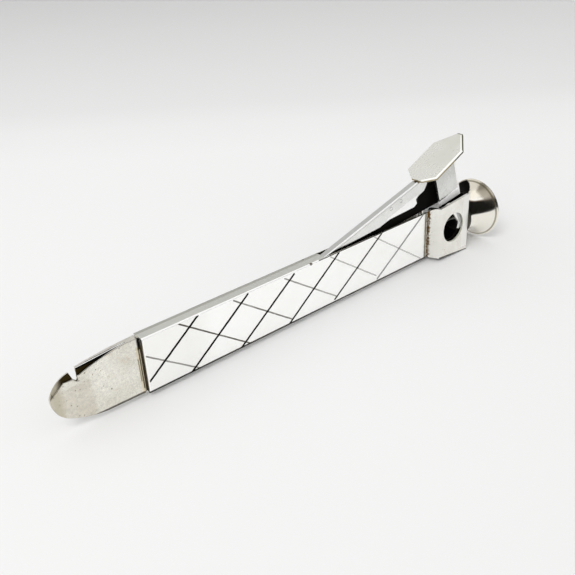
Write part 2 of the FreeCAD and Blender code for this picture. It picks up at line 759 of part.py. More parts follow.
def makeHolder():
    body = newBody("blade_holder")
    half = "dim.holder_half_width"
    front = HOLDER_END
    above = "(%s + %s)" % (underPlate(front), CUT_PAST)
    below = "(-dim.holder_depth - %s)" % CUT_PAST
    behind = "(%s - %s)" % (HOLDER_START, CUT_PAST)
    ahead = "(%s + %s)" % (front, CUT_PAST)
    prism(body, "Pad", "XZ_Plane", "-" + half, half, [[
        (HOLDER_START, "-dim.holder_depth"),
        (front, "-dim.holder_depth"),
        (front, underPlate(front)),
        (HOLDER_START, underPlate(HOLDER_START)),
    ]])
    prism(body, "Pocket", "XZ_Plane", "-" + ARM_HALF, ARM_HALF, [[
        (behind, below),
        (ARM_NOSE, below),
        (ARM_NOSE, HOLDER_FLOOR),
        (ahead, HOLDER_FLOOR),
        (ahead, above),
        (behind, above),
    ]])
    prism(body, "Pocket", "XZ_Plane", "-" + half, half, [], holderRivetHoles())
    placeOnLever(body)
    return body


# Straight knife on the holder's near side, ground along its lower and front edges

def makeKnife():
    body = newBody("straight_knife")
    start = "(%s + dim.knife_gap)" % LEVER_END
    front = "(%s + dim.knife_length)" % start
    prism(body, "Pad", "XZ_Plane", KNIFE_FACE, KNIFE_BACK, [[
        (start, "-dim.knife_rear_depth"),
        (front, "-dim.knife_front_depth"),
        (front, underPlate(front)),
        (start, underPlate(start)),
    ]], holderRivetHoles())
    face = number(KNIFE_FACE)
    bevels = (
        (lambda e: e.BoundBox.ZMax < -number("dim.knife_rear_depth") + 0.01, "dim.knife_bevel"),
        (lambda e: e.BoundBox.XMin > number(front) - 0.01 and e.BoundBox.ZLength > 2, "dim.knife_side_bevel"))
    for wanted, width in bevels:
        names = []
        for i, edge in enumerate(body.Shape.Edges, start=1):
            if abs(edge.BoundBox.YMax - face) < 0.01 and wanted(edge):
                names.append("Edge%d" % i)
        base = body.Tip
        bevel = body.newObject("PartDesign::Chamfer", "knife_bevel")
        bevel.Base = (base, names)
        bevel.ChamferType = "Two distances"
        bevel.FlipDirection = True
        bevel.setExpression("Size", width)
        bevel.setExpression("Size2", "dim.knife_thickness - dim.knife_edge")
        body.Tip = bevel
        doc.recompute()
    placeOnLever(body)
    return body


# V blade that notches the end of a cigar held in the cup

def makeVee():
    body = newBody("vee_blade")
    apex = "(%s + dim.vee_beyond)" % HOLDER_END
    rear = "(%s - dim.vee_length)" % apex
    prism(body, "Pad", "XY_Plane", "-dim.vee_front_depth", "-dim.holder_depth", [[
        (apex, "0"),
        (rear, "dim.vee_half_width"),
        (rear + " - dim.vee_sheet", "dim.vee_half_width"),
        (apex + " - dim.vee_sheet", "0"),
        (rear + " - dim.vee_sheet", "-dim.vee_half_width"),
        (rear, "-dim.vee_half_width"),
    ]])
    prism(body, "Pocket", "XZ_Plane", "-2 * dim.vee_half_width", "2 * dim.vee_half_width", [[
        (rear + " - 2 * dim.vee_sheet", "-2 * dim.vee_front_depth"),
        ("%s + %s" % (apex, CUT_PAST), "-2 * dim.vee_front_depth"),
        ("%s + %s" % (apex, CUT_PAST), "-dim.vee_front_depth"),
        (apex, "-dim.vee_front_depth"),
        (rear + " - 2 * dim.vee_sheet", "-dim.vee_rear_depth"),
    ]])
    placeOnLever(body)
    return body


# Thumb plate: a long octagon on top of the lever and the holder

def makePlate():
    body = newBody("thumb_plate")
    end = "(dim.plate_length / 2)"
    side = "(dim.plate_width / 2)"
    prism(body, "Pad", "XY_Plane", "-dim.plate_thickness", "0", [[
        ("-" + end, "-dim.plate_rear_half"),
        ("-" + end + " + dim.plate_rear_chamfer", "-" + side),
        (end + " - dim.plate_front_chamfer", "-" + side),
        (end, "-dim.plate_front_half"),
        (end, "dim.plate_front_half"),
        (end + " - dim.plate_front_chamfer", side),
        ("-" + end + " + dim.plate_rear_chamfer", side),
        ("-" + end, "dim.plate_rear_half"),
    ]])
    soften(body, "dim.plate_edge", lambda e: e.BoundBox.ZMin > -0.01)
    placeOnLever(body, PLATE_CENTRE, "dim.plate_height", "dim.plate_pitch")
    return body


# Leaf spring riveted on the spine, pressing up under the lever's top near the pin

def makeSpring():
    body = newBody("lever_spring")
    bend = "(%s + dim.spring_flat)" % SPRING_START
    tip = "(%s + dim.spring_rise_length)" % bend
    # height of the underside of the lever's top over the spring's tip, with the lever at rest
    reach = "(%s - %s)" % (tip, PIVOT_X)
    rest = "dim.lever_rest_angle * 1 deg"
    under = ("(%s + %s * tan(%s) + (dim.lever_top - dim.lever_sheet) / cos(%s)"
             " - dim.spring_gap)" % (PIVOT_Z, reach, rest, rest))
    rise = "(%s - %s)" % (under, SPINE_TOP)
    radius = "((dim.spring_rise_length ^ 2 + %s ^ 2) / (2 * %s))" % (rise, rise)
    sheet = "dim.spring_sheet"
    prism(body, "Pad", "XZ_Plane", "-dim.spring_half_width", "dim.spring_half_width", [[
        (SPRING_START, SPINE_TOP),
        (bend, SPINE_TOP, radius, "out"),
        (tip, under),
        ("%s - dim.spring_rise_length * %s / %s" % (tip, sheet, radius),
         "%s + %s * (%s - %s) / %s" % (under, sheet, radius, rise, radius), radius + " - " + sheet, "in"),
        (bend, SPINE_TOP + " + dim.spring_sheet"),
        (SPRING_START, SPINE_TOP + " + dim.spring_sheet"),
    ]])
    prism(body, "Pocket", "XY_Plane", SPINE_TOP, SPINE_TOP + " + dim.spring_sheet", [],
          [((SPRING_START + " + dim.spring_rivet_inset", "0"),
            "(dim.spring_rivet_radius + dim.rivet_clearance)")])
    placeFixed(body)
    return body


def makeSpringRivet():
    body = newBody("spring_rivet")
    place = (SPRING_START + " + dim.spring_rivet_inset", "0")
    seat = SPINE_TOP + " + dim.spring_sheet"
    prism(body, "Pad", "XY_Plane", "dim.sleeve_sheet", seat, [], [(place, "dim.spring_rivet_radius")])
    prism(body, "Pad", "XY_Plane", seat, seat + " + dim.spring_rivet_head", [],
          [(place, "dim.spring_rivet_head_radius")])
    placeFixed(body)
    return body


pieces = [
    makeSleeve(),
    makeLiner("near_liner", "-" + LINER_OUTER, "-" + LINER_INNER),
    makeLiner("far_liner", LINER_INNER, LINER_OUTER),
    makeSpine(),
    makeTongue(),
    makeShim(),
    makeHead(),
    makeShearPlate(),
    makeShearSpacers(),
    makeCup(),
    makeCupRing(),
    makeLever(),
    makeArm(),
    makeHolder(),
    makeKnife(),
    makeVee(),
    makePlate(),
    makeSpring(),
    makeSpringRivet(),
]

frameRivets = crossPins("frame_rivets", TANG_RIVETS + SPINE_RIVETS + HEAD_RIVETS, "dim.rivet_radius",
                        "-" + LINER_OUTER, LINER_OUTER)
placeFixed(frameRivets)
leverPin = crossPins("lever_pin", [(PIVOT_X, PIVOT_Z)], "dim.pin_radius",
                     "-" + LINER_OUTER, LINER_OUTER)
placeFixed(leverPin)
armRivets = crossPins("arm_rivets", ARM_RIVETS, "dim.arm_rivet_radius", "-" + LEVER_HALF, LEVER_HALF)
placeOnLever(armRivets)
holderRivets = crossPins("holder_rivets", HOLDER_RIVETS, "dim.holder_rivet_radius",
                         KNIFE_FACE, "dim.holder_half_width")
placeOnLever(holderRivets)
pieces += [frameRivets, leverPin, armRivets, holderRivets]

doc.recompute()

for item in doc.Objects:
    if "Invalid" in item.State or "Error" in item.State:
        raise RuntimeError("%s failed: %s" % (item.Name, item.State))

os.makedirs("parts", exist_ok=True)
whole = FreeCAD.BoundBox()
for piece in pieces:
    shape = piece.Shape
    if shape.isNull() or not shape.isValid():
        raise RuntimeError("%s has no valid shape" % piece.Label)
    whole.add(shape.optimalBoundingBox())
    shape.exportStep("parts/%s.step" % piece.Label)
    print("%-22s %d solid(s) %.2f mm3" % (piece.Label, len(shape.Solids), shape.Volume))
print("overall %.2f x %.2f x %.2f mm, lowest %.3f, x %.3f to %.3f"
      % (whole.XLength, whole.YLength, whole.ZLength, whole.ZMin, whole.XMin, whole.XMax))
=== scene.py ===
import math

import bmesh
import bpy
from mathutils import Matrix, Vector

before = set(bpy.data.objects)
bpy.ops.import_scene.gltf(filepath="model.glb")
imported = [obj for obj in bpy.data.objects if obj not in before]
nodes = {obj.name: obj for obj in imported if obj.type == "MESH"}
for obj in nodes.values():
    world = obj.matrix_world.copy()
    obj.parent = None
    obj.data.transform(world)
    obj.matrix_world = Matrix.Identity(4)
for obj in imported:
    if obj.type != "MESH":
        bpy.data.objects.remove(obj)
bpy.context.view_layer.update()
print("frame loaded with", len(nodes), "pieces")

# marks are drawn in millimetres from the handle's left end and underside
drawingStart = (-50.05, 0.0, 1.33)
# the lever's own marks run along it from its pin, the plate's from the middle of its top
leverPivot = (1.35, 0.0, 12.93)
leverPitch = 16.0
platePitch = 24.9
plateAlong = 55.2
plateAbove = 3.4


# short ways to add and join nodes

def fillSockets(tree, node, values):
    for socket, value in values.items():
        if isinstance(value, bpy.types.NodeSocket):
            tree.links.new(value, node.inputs[socket])
        elif node.inputs[socket].type == "RGBA":
            node.inputs[socket].default_value = (*value, 1)
        else:
            node.inputs[socket].default_value = value


def addNode(tree, kind, values=None, **settings):
    node = tree.nodes.new(kind)
    for name, value in settings.items():
        setattr(node, name, value)
    fillSockets(tree, node, values or {})
    return node


def figure(tree, operation, *values):
    return addNode(tree, "ShaderNodeMath", dict(enumerate(values)), operation=operation).outputs[0]


def times(tree, first, second):
    return figure(tree, "MULTIPLY", first, second)


def plus(tree, first, second):
    return figure(tree, "ADD", first, second)


def minus(tree, first, second):
    return figure(tree, "SUBTRACT", first, second)


def larger(tree, first, second):
    return figure(tree, "MAXIMUM", first, second)


def arrow(tree, operation, *values):
    return addNode(tree, "ShaderNodeVectorMath", dict(enumerate(values)), operation=operation).outputs[0]


def length(tree, operation, *values):  # for the vector sums that give a number
    return addNode(tree, "ShaderNodeVectorMath", dict(enumerate(values)), operation=operation).outputs["Value"]


def scaled(tree, place, factor):
    return addNode(tree, "ShaderNodeVectorMath", {0: place, "Scale": factor}, operation="SCALE").outputs[0]


def ease(tree, value, low, high):  # 0 below low, 1 above high, smooth between
    return addNode(tree, "ShaderNodeMapRange", {0: value, 1: low, 2: high},
                   interpolation_type="SMOOTHSTEP").outputs[0]


def below(tree, value, low, high):  # 1 below low, 0 above high
    return minus(tree, 1.0, ease(tree, value, low, high))


def tint(tree, factor, first, second):
    return addNode(tree, "ShaderNodeMix", {0: factor, 6: first, 7: second}, data_type="RGBA").outputs[2]


def cloud(tree, place, scale, detail=3.0, roughness=0.55):
    return addNode(tree, "ShaderNodeTexNoise",
                   {"Vector": place, "Scale": scale, "Detail": detail, "Roughness": roughness}).outputs[0]


def wander(tree, place, scale, reach):  # a place pushed about a little
    noise = addNode(tree, "ShaderNodeTexNoise", {"Vector": place, "Scale": scale}).outputs["Color"]
    return arrow(tree, "ADD", place, scaled(tree, arrow(tree, "SUBTRACT", noise, (0.5, 0.5, 0.5)), reach))


def millimetres(tree):
    return scaled(tree, addNode(tree, "ShaderNodeTexCoord").outputs["Object"], 1000.0)


def axis(tree, place, which):
    return addNode(tree, "ShaderNodeSeparateXYZ", {0: place}).outputs[which]


def drawingPlace(tree):
    return arrow(tree, "SUBTRACT", millimetres(tree), drawingStart)


def turnedPlace(tree, start, pitch):  # along, across and above a piece that is pitched up
    turn = math.radians(pitch)
    offset = arrow(tree, "SUBTRACT", millimetres(tree), start)
    along = length(tree, "DOT_PRODUCT", offset, (math.cos(turn), 0, math.sin(turn)))
    above = length(tree, "DOT_PRODUCT", offset, (-math.sin(turn), 0, math.cos(turn)))
    return addNode(tree, "ShaderNodeCombineXYZ", {0: along, 1: axis(tree, offset, 1), 2: above}).outputs[0]


def leverPlace(tree):
    return turnedPlace(tree, leverPivot, leverPitch)


def platePlace(tree):
    turn = math.radians(leverPitch)
    x = leverPivot[0] + plateAlong * math.cos(turn) - plateAbove * math.sin(turn)
    z = leverPivot[2] + plateAlong * math.sin(turn) + plateAbove * math.cos(turn)
    return turnedPlace(tree, (x, 0, z), platePitch)


def newGroup(name, inputs, outputs):
    tree = bpy.data.node_groups.new(name, "ShaderNodeTree")
    kinds = {"value": "NodeSocketFloat", "color": "NodeSocketColor", "vector": "NodeSocketVector"}
    for label, kind in inputs:
        tree.interface.new_socket(label, in_out="INPUT", socket_type=kinds[kind])
    for label, kind in outputs:
        tree.interface.new_socket(label, in_out="OUTPUT", socket_type=kinds[kind])
    return tree, tree.nodes.new("NodeGroupInput").outputs, tree.nodes.new("NodeGroupOutput").inputs


def useGroup(tree, group, values):
    node = tree.nodes.new("ShaderNodeGroup")
    node.node_tree = group
    fillSockets(tree, node, values)
    return node.outputs


# effects that several metals share

# how old plating dulls, stains and speckles: scales are per millimetre, edges run from none to full
platingPattern = {
    "shift": (31.0, 7.0, 19.0), "mottleScale": 1.5, "grainScale": 6.5,
    "cloudScale": 0.16, "cloudShare": 0.6, "dullEdge": (0.38, 0.64),
    "blotScale": 0.3, "blotGround": 0.5, "stainEdge": (0.56, 0.78),
    "speckScale": 0.8, "speckWander": (2.0, 0.5), "speckEdge": (0.06, 0.22), "speckShade": 0.45,
    "fieldScale": 0.22, "fieldEdge": (0.5, 0.6),
    "mottleWeight": 1.5, "evenLevel": 1.25, "grainHeight": 0.4, "stainDepth": 0.4}


def makeWornPlating(style):  # plating that has dulled in clouds, stained and speckled
    tree, given, result = newGroup(
        "wornPlating",
        [("Plate", "color"), ("Dull", "color"), ("Stain", "color"),
         ("Dulling", "value"), ("Staining", "value"), ("Specks", "value"), ("Grain", "value")],
        [("Color", "color"), ("Dullness", "value"), ("Height", "value")])
    place = millimetres(tree)
    moved = arrow(tree, "ADD", place, style["shift"])
    mottle = cloud(tree, place, style["mottleScale"], 5, 0.7)
    grain = cloud(tree, place, style["grainScale"], 2)
    wide = cloud(tree, place, style["cloudScale"], 4, 0.6)
    clouds = plus(tree, times(tree, wide, style["cloudShare"]), times(tree, mottle, 1 - style["cloudShare"]))
    dull = times(tree, ease(tree, clouds, *style["dullEdge"]), given["Dulling"])
    color = tint(tree, dull, given["Plate"], given["Dull"])
    blots = times(tree, cloud(tree, moved, style["blotScale"], 5, 0.75), plus(tree, mottle, style["blotGround"]))
    stain = times(tree, ease(tree, blots, *style["stainEdge"]), given["Staining"])
    color = tint(tree, stain, color, given["Stain"])
    cells = addNode(tree, "ShaderNodeTexVoronoi", {
        "Vector": wander(tree, place, *style["speckWander"]), "Scale": style["speckScale"]}, feature="F1")
    dots = below(tree, cells.outputs["Distance"], *style["speckEdge"])
    fields = ease(tree, cloud(tree, moved, style["fieldScale"], 1), *style["fieldEdge"])
    speck = times(tree, times(tree, dots, fields), given["Specks"])
    color = tint(tree, speck, color, scaled(tree, given["Stain"], style["speckShade"]))
    uneven = minus(tree, plus(tree, grain, times(tree, mottle, style["mottleWeight"])), style["evenLevel"])
    shade = plus(tree, 1.0, times(tree, uneven, given["Grain"]))
    tree.links.new(scaled(tree, color, shade), result["Color"])
    tree.links.new(larger(tree, larger(tree, dull, stain), speck), result["Dullness"])
    pitted = plus(tree, speck, times(tree, stain, style["stainDepth"]))
    tree.links.new(minus(tree, times(tree, grain, style["grainHeight"]), pitted), result["Height"])
    return tree


# each kind of streak has its scale along, its scale across and its shift
scratchPattern = {
    "hairs": (0.07, 4.5, (0, 0, 0)), "hairEdge": (0.68, 0.74),
    "crossing": (0.09, 5.0, (40, 11, 5)), "crossingEdge": (0.70, 0.75), "crossingTurn": 0.9,
    "brushed": (0.15, 9.0, (9, 3, 27))}


def makeScratches(style):  # hairs, crossing hairs and the brushed lines of the polishing
    tree, given, result = newGroup("fineScratches", [("Turn", "value"), ("Amount", "value")],
                                   [("Mask", "value"), ("Brushed", "value")])
    place = millimetres(tree)

    def streaks(turn, along, across, shift):
        turned = addNode(tree, "ShaderNodeVectorRotate", {
            "Vector": arrow(tree, "ADD", place, shift), "Angle": turn}, rotation_type="Y_AXIS").outputs[0]
        return cloud(tree, arrow(tree, "MULTIPLY", turned, (along, across, across)), 1.0, 2)

    hairs = ease(tree, streaks(given["Turn"], *style["hairs"]), *style["hairEdge"])
    otherTurn = plus(tree, given["Turn"], style["crossingTurn"])
    crossing = ease(tree, streaks(otherTurn, *style["crossing"]), *style["crossingEdge"])
    tree.links.new(times(tree, larger(tree, hairs, crossing), given["Amount"]), result["Mask"])
    tree.links.new(streaks(given["Turn"], *style["brushed"]), result["Brushed"])
    return tree


# how sharply the shared marks end
markShape = {
    "bevelSamples": 6, "edgeTurn": (0.02, 0.22), "insideShadeEdge": (0.12, 0.4), "raggedScale": 1.3,
    "pitWander": (2.5, 0.35), "pitEdge": (0.5, 1.3), "strokeEdge": (0.40, 0.56),
    "heightWaver": (0.8, 0.6), "heightFade": 0.8, "withinFade": 0.1, "beyondFade": 0.2, "fromFade": 0.5}


def makeRoundedEdge(style):  # the rounded normal at edges, and where it turns away from the flat face
    tree, given, result = newGroup("roundedEdge", [("Radius", "value")],
                                   [("Mask", "value"), ("Normal", "vector")])
    bevel = addNode(tree, "ShaderNodeBevel", {"Radius": given["Radius"]}, samples=style["bevelSamples"])
    flat = addNode(tree, "ShaderNodeNewGeometry").outputs["Normal"]
    turned = minus(tree, 1.0, length(tree, "DOT_PRODUCT", bevel.outputs[0], flat))
    tree.links.new(ease(tree, turned, *style["edgeTurn"]), result["Mask"])
    tree.links.new(bevel.outputs[0], result["Normal"])
    return tree


def makeInsideShadeFaces(style):  # 1 on the faces of a hollow piece that look towards its middle, where shade is painted
    tree, given, result = newGroup(
        "insideShadeFaces", [("Place", "vector"), ("Middle", "vector"), ("Reach", "vector")], [("Mask", "value")])
    outward = arrow(tree, "MULTIPLY", arrow(tree, "SUBTRACT", given["Place"], given["Middle"]), given["Reach"])
    facing = length(tree, "DOT_PRODUCT", outward, addNode(tree, "ShaderNodeNewGeometry").outputs["Normal"])
    tree.links.new(ease(tree, times(tree, facing, -1.0), *style["insideShadeEdge"]), result["Mask"])
    return tree


def makePatch(style):  # 1 in a box with soft, ragged sides
    tree, given, result = newGroup(
        "stainAndPaintedLightPatch",
        [("Place", "vector"), ("Middle", "vector"), ("Half", "vector"), ("Soft", "value"), ("Ragged", "value")],
        [("Mask", "value")])
    away = arrow(tree, "ABSOLUTE", arrow(tree, "SUBTRACT", given["Place"], given["Middle"]))
    beyond = arrow(tree, "MAXIMUM", arrow(tree, "SUBTRACT", away, given["Half"]), (0, 0, 0))
    rough = minus(tree, cloud(tree, given["Place"], style["raggedScale"], 4, 0.7), 0.5)
    edge = plus(tree, length(tree, "LENGTH", beyond), times(tree, rough, given["Ragged"]))
    tree.links.new(below(tree, edge, 0.0, given["Soft"]), result["Mask"])
    return tree


def makePitAndGlint(style):  # a small ragged spot, used for pits and for painted glints
    tree, given, result = newGroup(
        "pitAndGlintSpot", [("Place", "vector"), ("Middle", "vector"), ("Radius", "value")], [("Mask", "value")])
    gap = length(tree, "DISTANCE", wander(tree, given["Place"], *style["pitWander"]), given["Middle"])
    inner, outer = (times(tree, given["Radius"], share) for share in style["pitEdge"])
    tree.links.new(below(tree, gap, inner, outer), result["Mask"])
    return tree


def makeStroke(style):  # one line from Start to End, for engraved cuts, streaks, painted highlights and painted shadow lines
    tree, given, result = newGroup(
        "cutAndPaintedLightStroke", [("Place", "vector"), ("Start", "vector"), ("End", "vector"), ("Width", "value")],
        [("Mask", "value")])
    way = arrow(tree, "SUBTRACT", given["End"], given["Start"])
    offset = arrow(tree, "SUBTRACT", given["Place"], given["Start"])
    along, whole = length(tree, "DOT_PRODUCT", offset, way), length(tree, "DOT_PRODUCT", way, way)
    share = addNode(tree, "ShaderNodeMath", {0: along, 1: whole}, operation="DIVIDE", use_clamp=True).outputs[0]
    gap = length(tree, "DISTANCE", offset, scaled(tree, way, share))
    tree.links.new(below(tree, figure(tree, "DIVIDE", gap, given["Width"]), *style["strokeEdge"]), result["Mask"])
    return tree


wornPlating = makeWornPlating(platingPattern)
fineScratches = makeScratches(scratchPattern)
roundedEdge = makeRoundedEdge(markShape)
insideShadeFaces = makeInsideShadeFaces(markShape)
stainAndPaintedLightPatch = makePatch(markShape)
pitAndGlintSpot = makePitAndGlint(markShape)
cutAndPaintedLightStroke = makeStroke(markShape)
print("shared effects made")


# ways to put marks on a metal before its shader is made

def paint(tree, surface, mask, color, roughness=0.2, covered=0.0):
    surface["color"] = tint(tree, mask, surface["color"], color)
    surface["rough"] = plus(tree, surface["rough"], times(tree, mask, roughness))
    if covered:  # tarnish, dirt, painted shade and painted highlights hide the metal
        bare = minus(tree, 1.0, times(tree, mask, covered))
        surface["metallic"] = times(tree, surface["metallic"], bare)


# paints boxes of colour: real stains and tarnish, and also painted highlights, painted light and painted shade
def paintPatches(tree, surface, place, patches):
    for patch in patches:
        mask = useGroup(tree, stainAndPaintedLightPatch, {
            "Place": place, "Middle": patch["middle"], "Half": patch["half"],
            "Soft": patch["soft"], "Ragged": patch["ragged"]})["Mask"]
        mask = times(tree, mask, patch["strength"])
        paint(tree, surface, mask, patch["color"], patch.get("rough", 0.15), patch.get("covered", 0.0))


# paints small spots: dark pits, and the cup's painted glint
def paintPitsAndGlints(tree, surface, place, spots, color):
    found = 0.0
    for x, y, z, radius in spots:
        spot = useGroup(tree, pitAndGlintSpot, {"Place": place, "Middle": (x, y, z), "Radius": radius})
        found = larger(tree, spot["Mask"], found)
    paint(tree, surface, found, color)
    surface["height"] = minus(tree, surface["height"], found)


def strokes(tree, place, lines, width):
    found = 0.0
    for start, end, strength in lines:
        stroke = useGroup(tree, cutAndPaintedLightStroke, {"Place": place, "Start": start, "End": end, "Width": width})
        found = larger(tree, times(tree, stroke["Mask"], strength), found)
    return found


# upTo is a height, within and beyond are measured across, and from along
# paints the faces inside a hollow near black: painted shade
def paintInsideShade(tree, surface, place, inside, style=markShape):
    mask = useGroup(tree, insideShadeFaces, {
        "Place": place, "Middle": inside["middle"], "Reach": inside["reach"]})["Mask"]
    across = axis(tree, place, 1)
    if "upTo" in inside:
        height = axis(tree, wander(tree, place, *style["heightWaver"]), 2)
        mask = times(tree, mask, below(tree, height, inside["upTo"] - style["heightFade"], inside["upTo"]))
    if "within" in inside:
        either = figure(tree, "ABSOLUTE", across)
        mask = times(tree, mask, below(tree, either, inside["within"], inside["within"] + style["withinFade"]))
    if "beyond" in inside:
        mask = times(tree, mask, ease(tree, across, inside["beyond"] - style["beyondFade"], inside["beyond"]))
    if "from" in inside:
        along = axis(tree, place, 0)
        mask = times(tree, mask, ease(tree, along, inside["from"], inside["from"] + style["fromFade"]))
    paint(tree, surface, mask, inside["color"], roughness=0.35, covered=1.0)


# what is the same for every metal here
metalRules = {
    "scratchTint": 0.35, "scratchRoughness": 0.12, "brushedHeight": 0.6, "bumpDistance": 0.00002, "specular": 0.02}


def metal(name, finish, extra=None):
    material = bpy.data.materials.new(name)
    material.use_nodes = True
    tree = material.node_tree
    tree.nodes.clear()
    plating = useGroup(tree, wornPlating, {
        "Plate": finish["plate"], "Dull": finish["dull"], "Stain": finish["stain"], "Dulling": finish["dulling"],
        "Staining": finish["staining"], "Specks": finish["specks"], "Grain": finish["grain"]})
    scratches = useGroup(tree, fineScratches, {
        "Turn": math.radians(finish["brushedTurn"]), "Amount": finish["scratches"]})
    edge = useGroup(tree, roundedEdge, {"Radius": finish["edgeRadius"] / 1000})
    brushed = minus(tree, scratches["Brushed"], 0.5)
    brushedShade = plus(tree, 1.0, times(tree, brushed, finish["brushedShade"]))
    color = scaled(tree, plating["Color"], brushedShade)
    color = tint(tree, times(tree, scratches["Mask"], metalRules["scratchTint"]), color, finish["scratchColor"])
    rough = plus(tree, finish["roughness"], times(tree, plating["Dullness"], finish["dullRoughness"]))
    rough = plus(tree, rough, times(tree, scratches["Mask"], metalRules["scratchRoughness"]))
    lines = minus(tree, times(tree, brushed, metalRules["brushedHeight"]), scratches["Mask"])
    height = plus(tree, plating["Height"], times(tree, lines, finish["brushedDepth"]))
    surface = {"color": color, "rough": rough, "height": height, "metallic": finish.get("metallic", 1.0)}
    if extra:
        extra(tree, surface)
    bareEdge = times(tree, edge["Mask"], surface["metallic"])
    color = tint(tree, times(tree, bareEdge, finish["edgeWear"]), surface["color"], finish["edgeColor"])
    bump = addNode(tree, "ShaderNodeBump", {
        "Strength": finish["bump"], "Distance": metalRules["bumpDistance"],
        "Height": surface["height"], "Normal": edge["Normal"]})
    shader = addNode(tree, "ShaderNodeBsdfPrincipled", {
        "Base Color": color, "Roughness": surface["rough"], "Metallic": surface["metallic"],
        "Specular IOR Level": metalRules["specular"], "Normal": bump.outputs[0]})
    addNode(tree, "ShaderNodeOutputMaterial", {"Surface": shader.outputs[0]})
    return material


def dress(piece, material):
    slots = nodes[piece].data.materials
    slots.clear()
    slots.append(material)


# handle sleeve, with its cut lattice
sleeveFinish = {
    "plate": (0.96, 0.96, 0.95), "dull": (0.92, 0.915, 0.89), "stain": (0.70, 0.66, 0.54),
    "dulling": 0.5, "staining": 0.2, "specks": 0.0, "grain": 0.03,
    "roughness": 0.13, "dullRoughness": 0.06, "brushedTurn": 0, "brushedShade": 0.06, "brushedDepth": 0.5,
    "scratches": 0.35, "scratchColor": (0.80, 0.79, 0.76),
    "edgeRadius": 0.2, "edgeWear": 0.4, "edgeColor": (0.98, 0.98, 0.96), "bump": 0.06,
    # the sleeve's inner faces are painted near black: painted shade
    "inside": {"middle": (0, 0, 7.5), "reach": (0, 1, 1), "color": (0.02, 0.018, 0.012)},
    "patches": [
        {"middle": (96.9, 0, 7.5), "half": (0.35, 3, 8), "soft": 0.5, "ragged": 0.5,
         "color": (0.10, 0.085, 0.04), "strength": 0.85},
        {"middle": (0, 0, 7.5), "half": (0.12, 3, 8), "soft": 0.15, "ragged": 0.1,
         "color": (0.75, 0.73, 0.62), "strength": 0.6},
        # painted shade: the top face darker, and its far half darker still
        {"middle": (27, 0, 15.05), "half": (30, 1.75, 0.1), "soft": 0.2, "ragged": 0.35,
         "color": (0.68, 0.68, 0.62), "strength": 0.75},
        {"middle": (27, 1.35, 15.05), "half": (30, 0.5, 0.1), "soft": 0.25, "ragged": 0.15,
         "color": (0.46, 0.46, 0.41), "strength": 0.75},
        {"middle": (78, 0, 15.05), "half": (20, 3, 0.15), "soft": 0.15, "ragged": 0.3,
         "color": (0.42, 0.40, 0.26), "strength": 0.6},
        # painted shade: a dark line along the top's far edge
        {"middle": (36, 1.8, 15.0), "half": (21, 0.14, 0.2), "soft": 0.12, "ragged": 0.12,
         "color": (0.10, 0.09, 0.06), "strength": 0.9, "covered": 0.5},
        # painted highlights: white lines along the near top edge and the near left end
        {"middle": (27, -1.7, 15.0), "half": (27, 0.17, 0.2), "soft": 0.1, "ragged": 0.08,
         "color": (1.0, 1.0, 0.99), "strength": 0.95, "covered": 0.8},
        {"middle": (0.2, -1.9, 7.5), "half": (0.1, 0.1, 7.2), "soft": 0.1, "ragged": 0.05,
         "color": (1.0, 1.0, 0.99), "strength": 0.9, "covered": 0.8},
        # painted shadow: a black line along the near bottom edge, where the sleeve meets the table
        {"middle": (48, -1.9, -0.1), "half": (50, 0.6, 0.6), "soft": 0.15, "ragged": 0.12,
         "color": (0.012, 0.012, 0.008), "strength": 1.0, "covered": 1.0}],
    "facePatches": [
        {"middle": (4, -1.9, 7.5), "half": (9, 0.1, 8), "soft": 8, "ragged": 2.0,
         "color": (0.87, 0.865, 0.84), "strength": 0.6}],
    "pits": [(51.3, -1.75, 15.0, 0.5), (51.3, 1.75, 15.0, 0.5)], "pitColor": (0.12, 0.10, 0.07)}
latticeCuts = {
    "steep": [((0.5, 0, 3.3), (15.2, 0, 14.7), 1.0), ((11.6, 0, 0.1), (30.2, 0, 14.5), 1.0),
              ((27.1, 0, 0.4), (45.3, 0, 14.3), 1.0), ((43.1, 0, 0.5), (61.2, 0, 14.6), 1.0),
              ((59.5, 0, 1.1), (77.8, 0, 14.7), 0.95), ((76.2, 0, 1.0), (96.2, 0, 15.4), 0.7)],
    "shallow": [((0.4, 0, 10.2), (14.2, 0, 0.3), 0.75), ((9.9, 0, 14.7), (29.8, 0, 0.3), 0.95),
                ((25.8, 0, 14.4), (43.9, 0, 1.4), 0.85), ((42.1, 0, 14.2), (59.9, 0, 1.9), 0.7),
                ((58.2, 0, 14.5), (75.7, 0, 2.2), 0.5), ((74.8, 0, 14.7), (94.8, 0, 0.8), 0.45)],
    "steepWidth": 0.64, "steepColor": (0.003, 0.003, 0.002),
    "shallowWidth": 0.42, "shallowColor": (0.06, 0.05, 0.03),
    "waver": (0.6, 0.18), "pressureScale": 0.25, "pressureEdge": (0.25, 0.55), "leastPressure": 0.65,
    "onFace": (1.80, 1.88), "depth": 6.0}


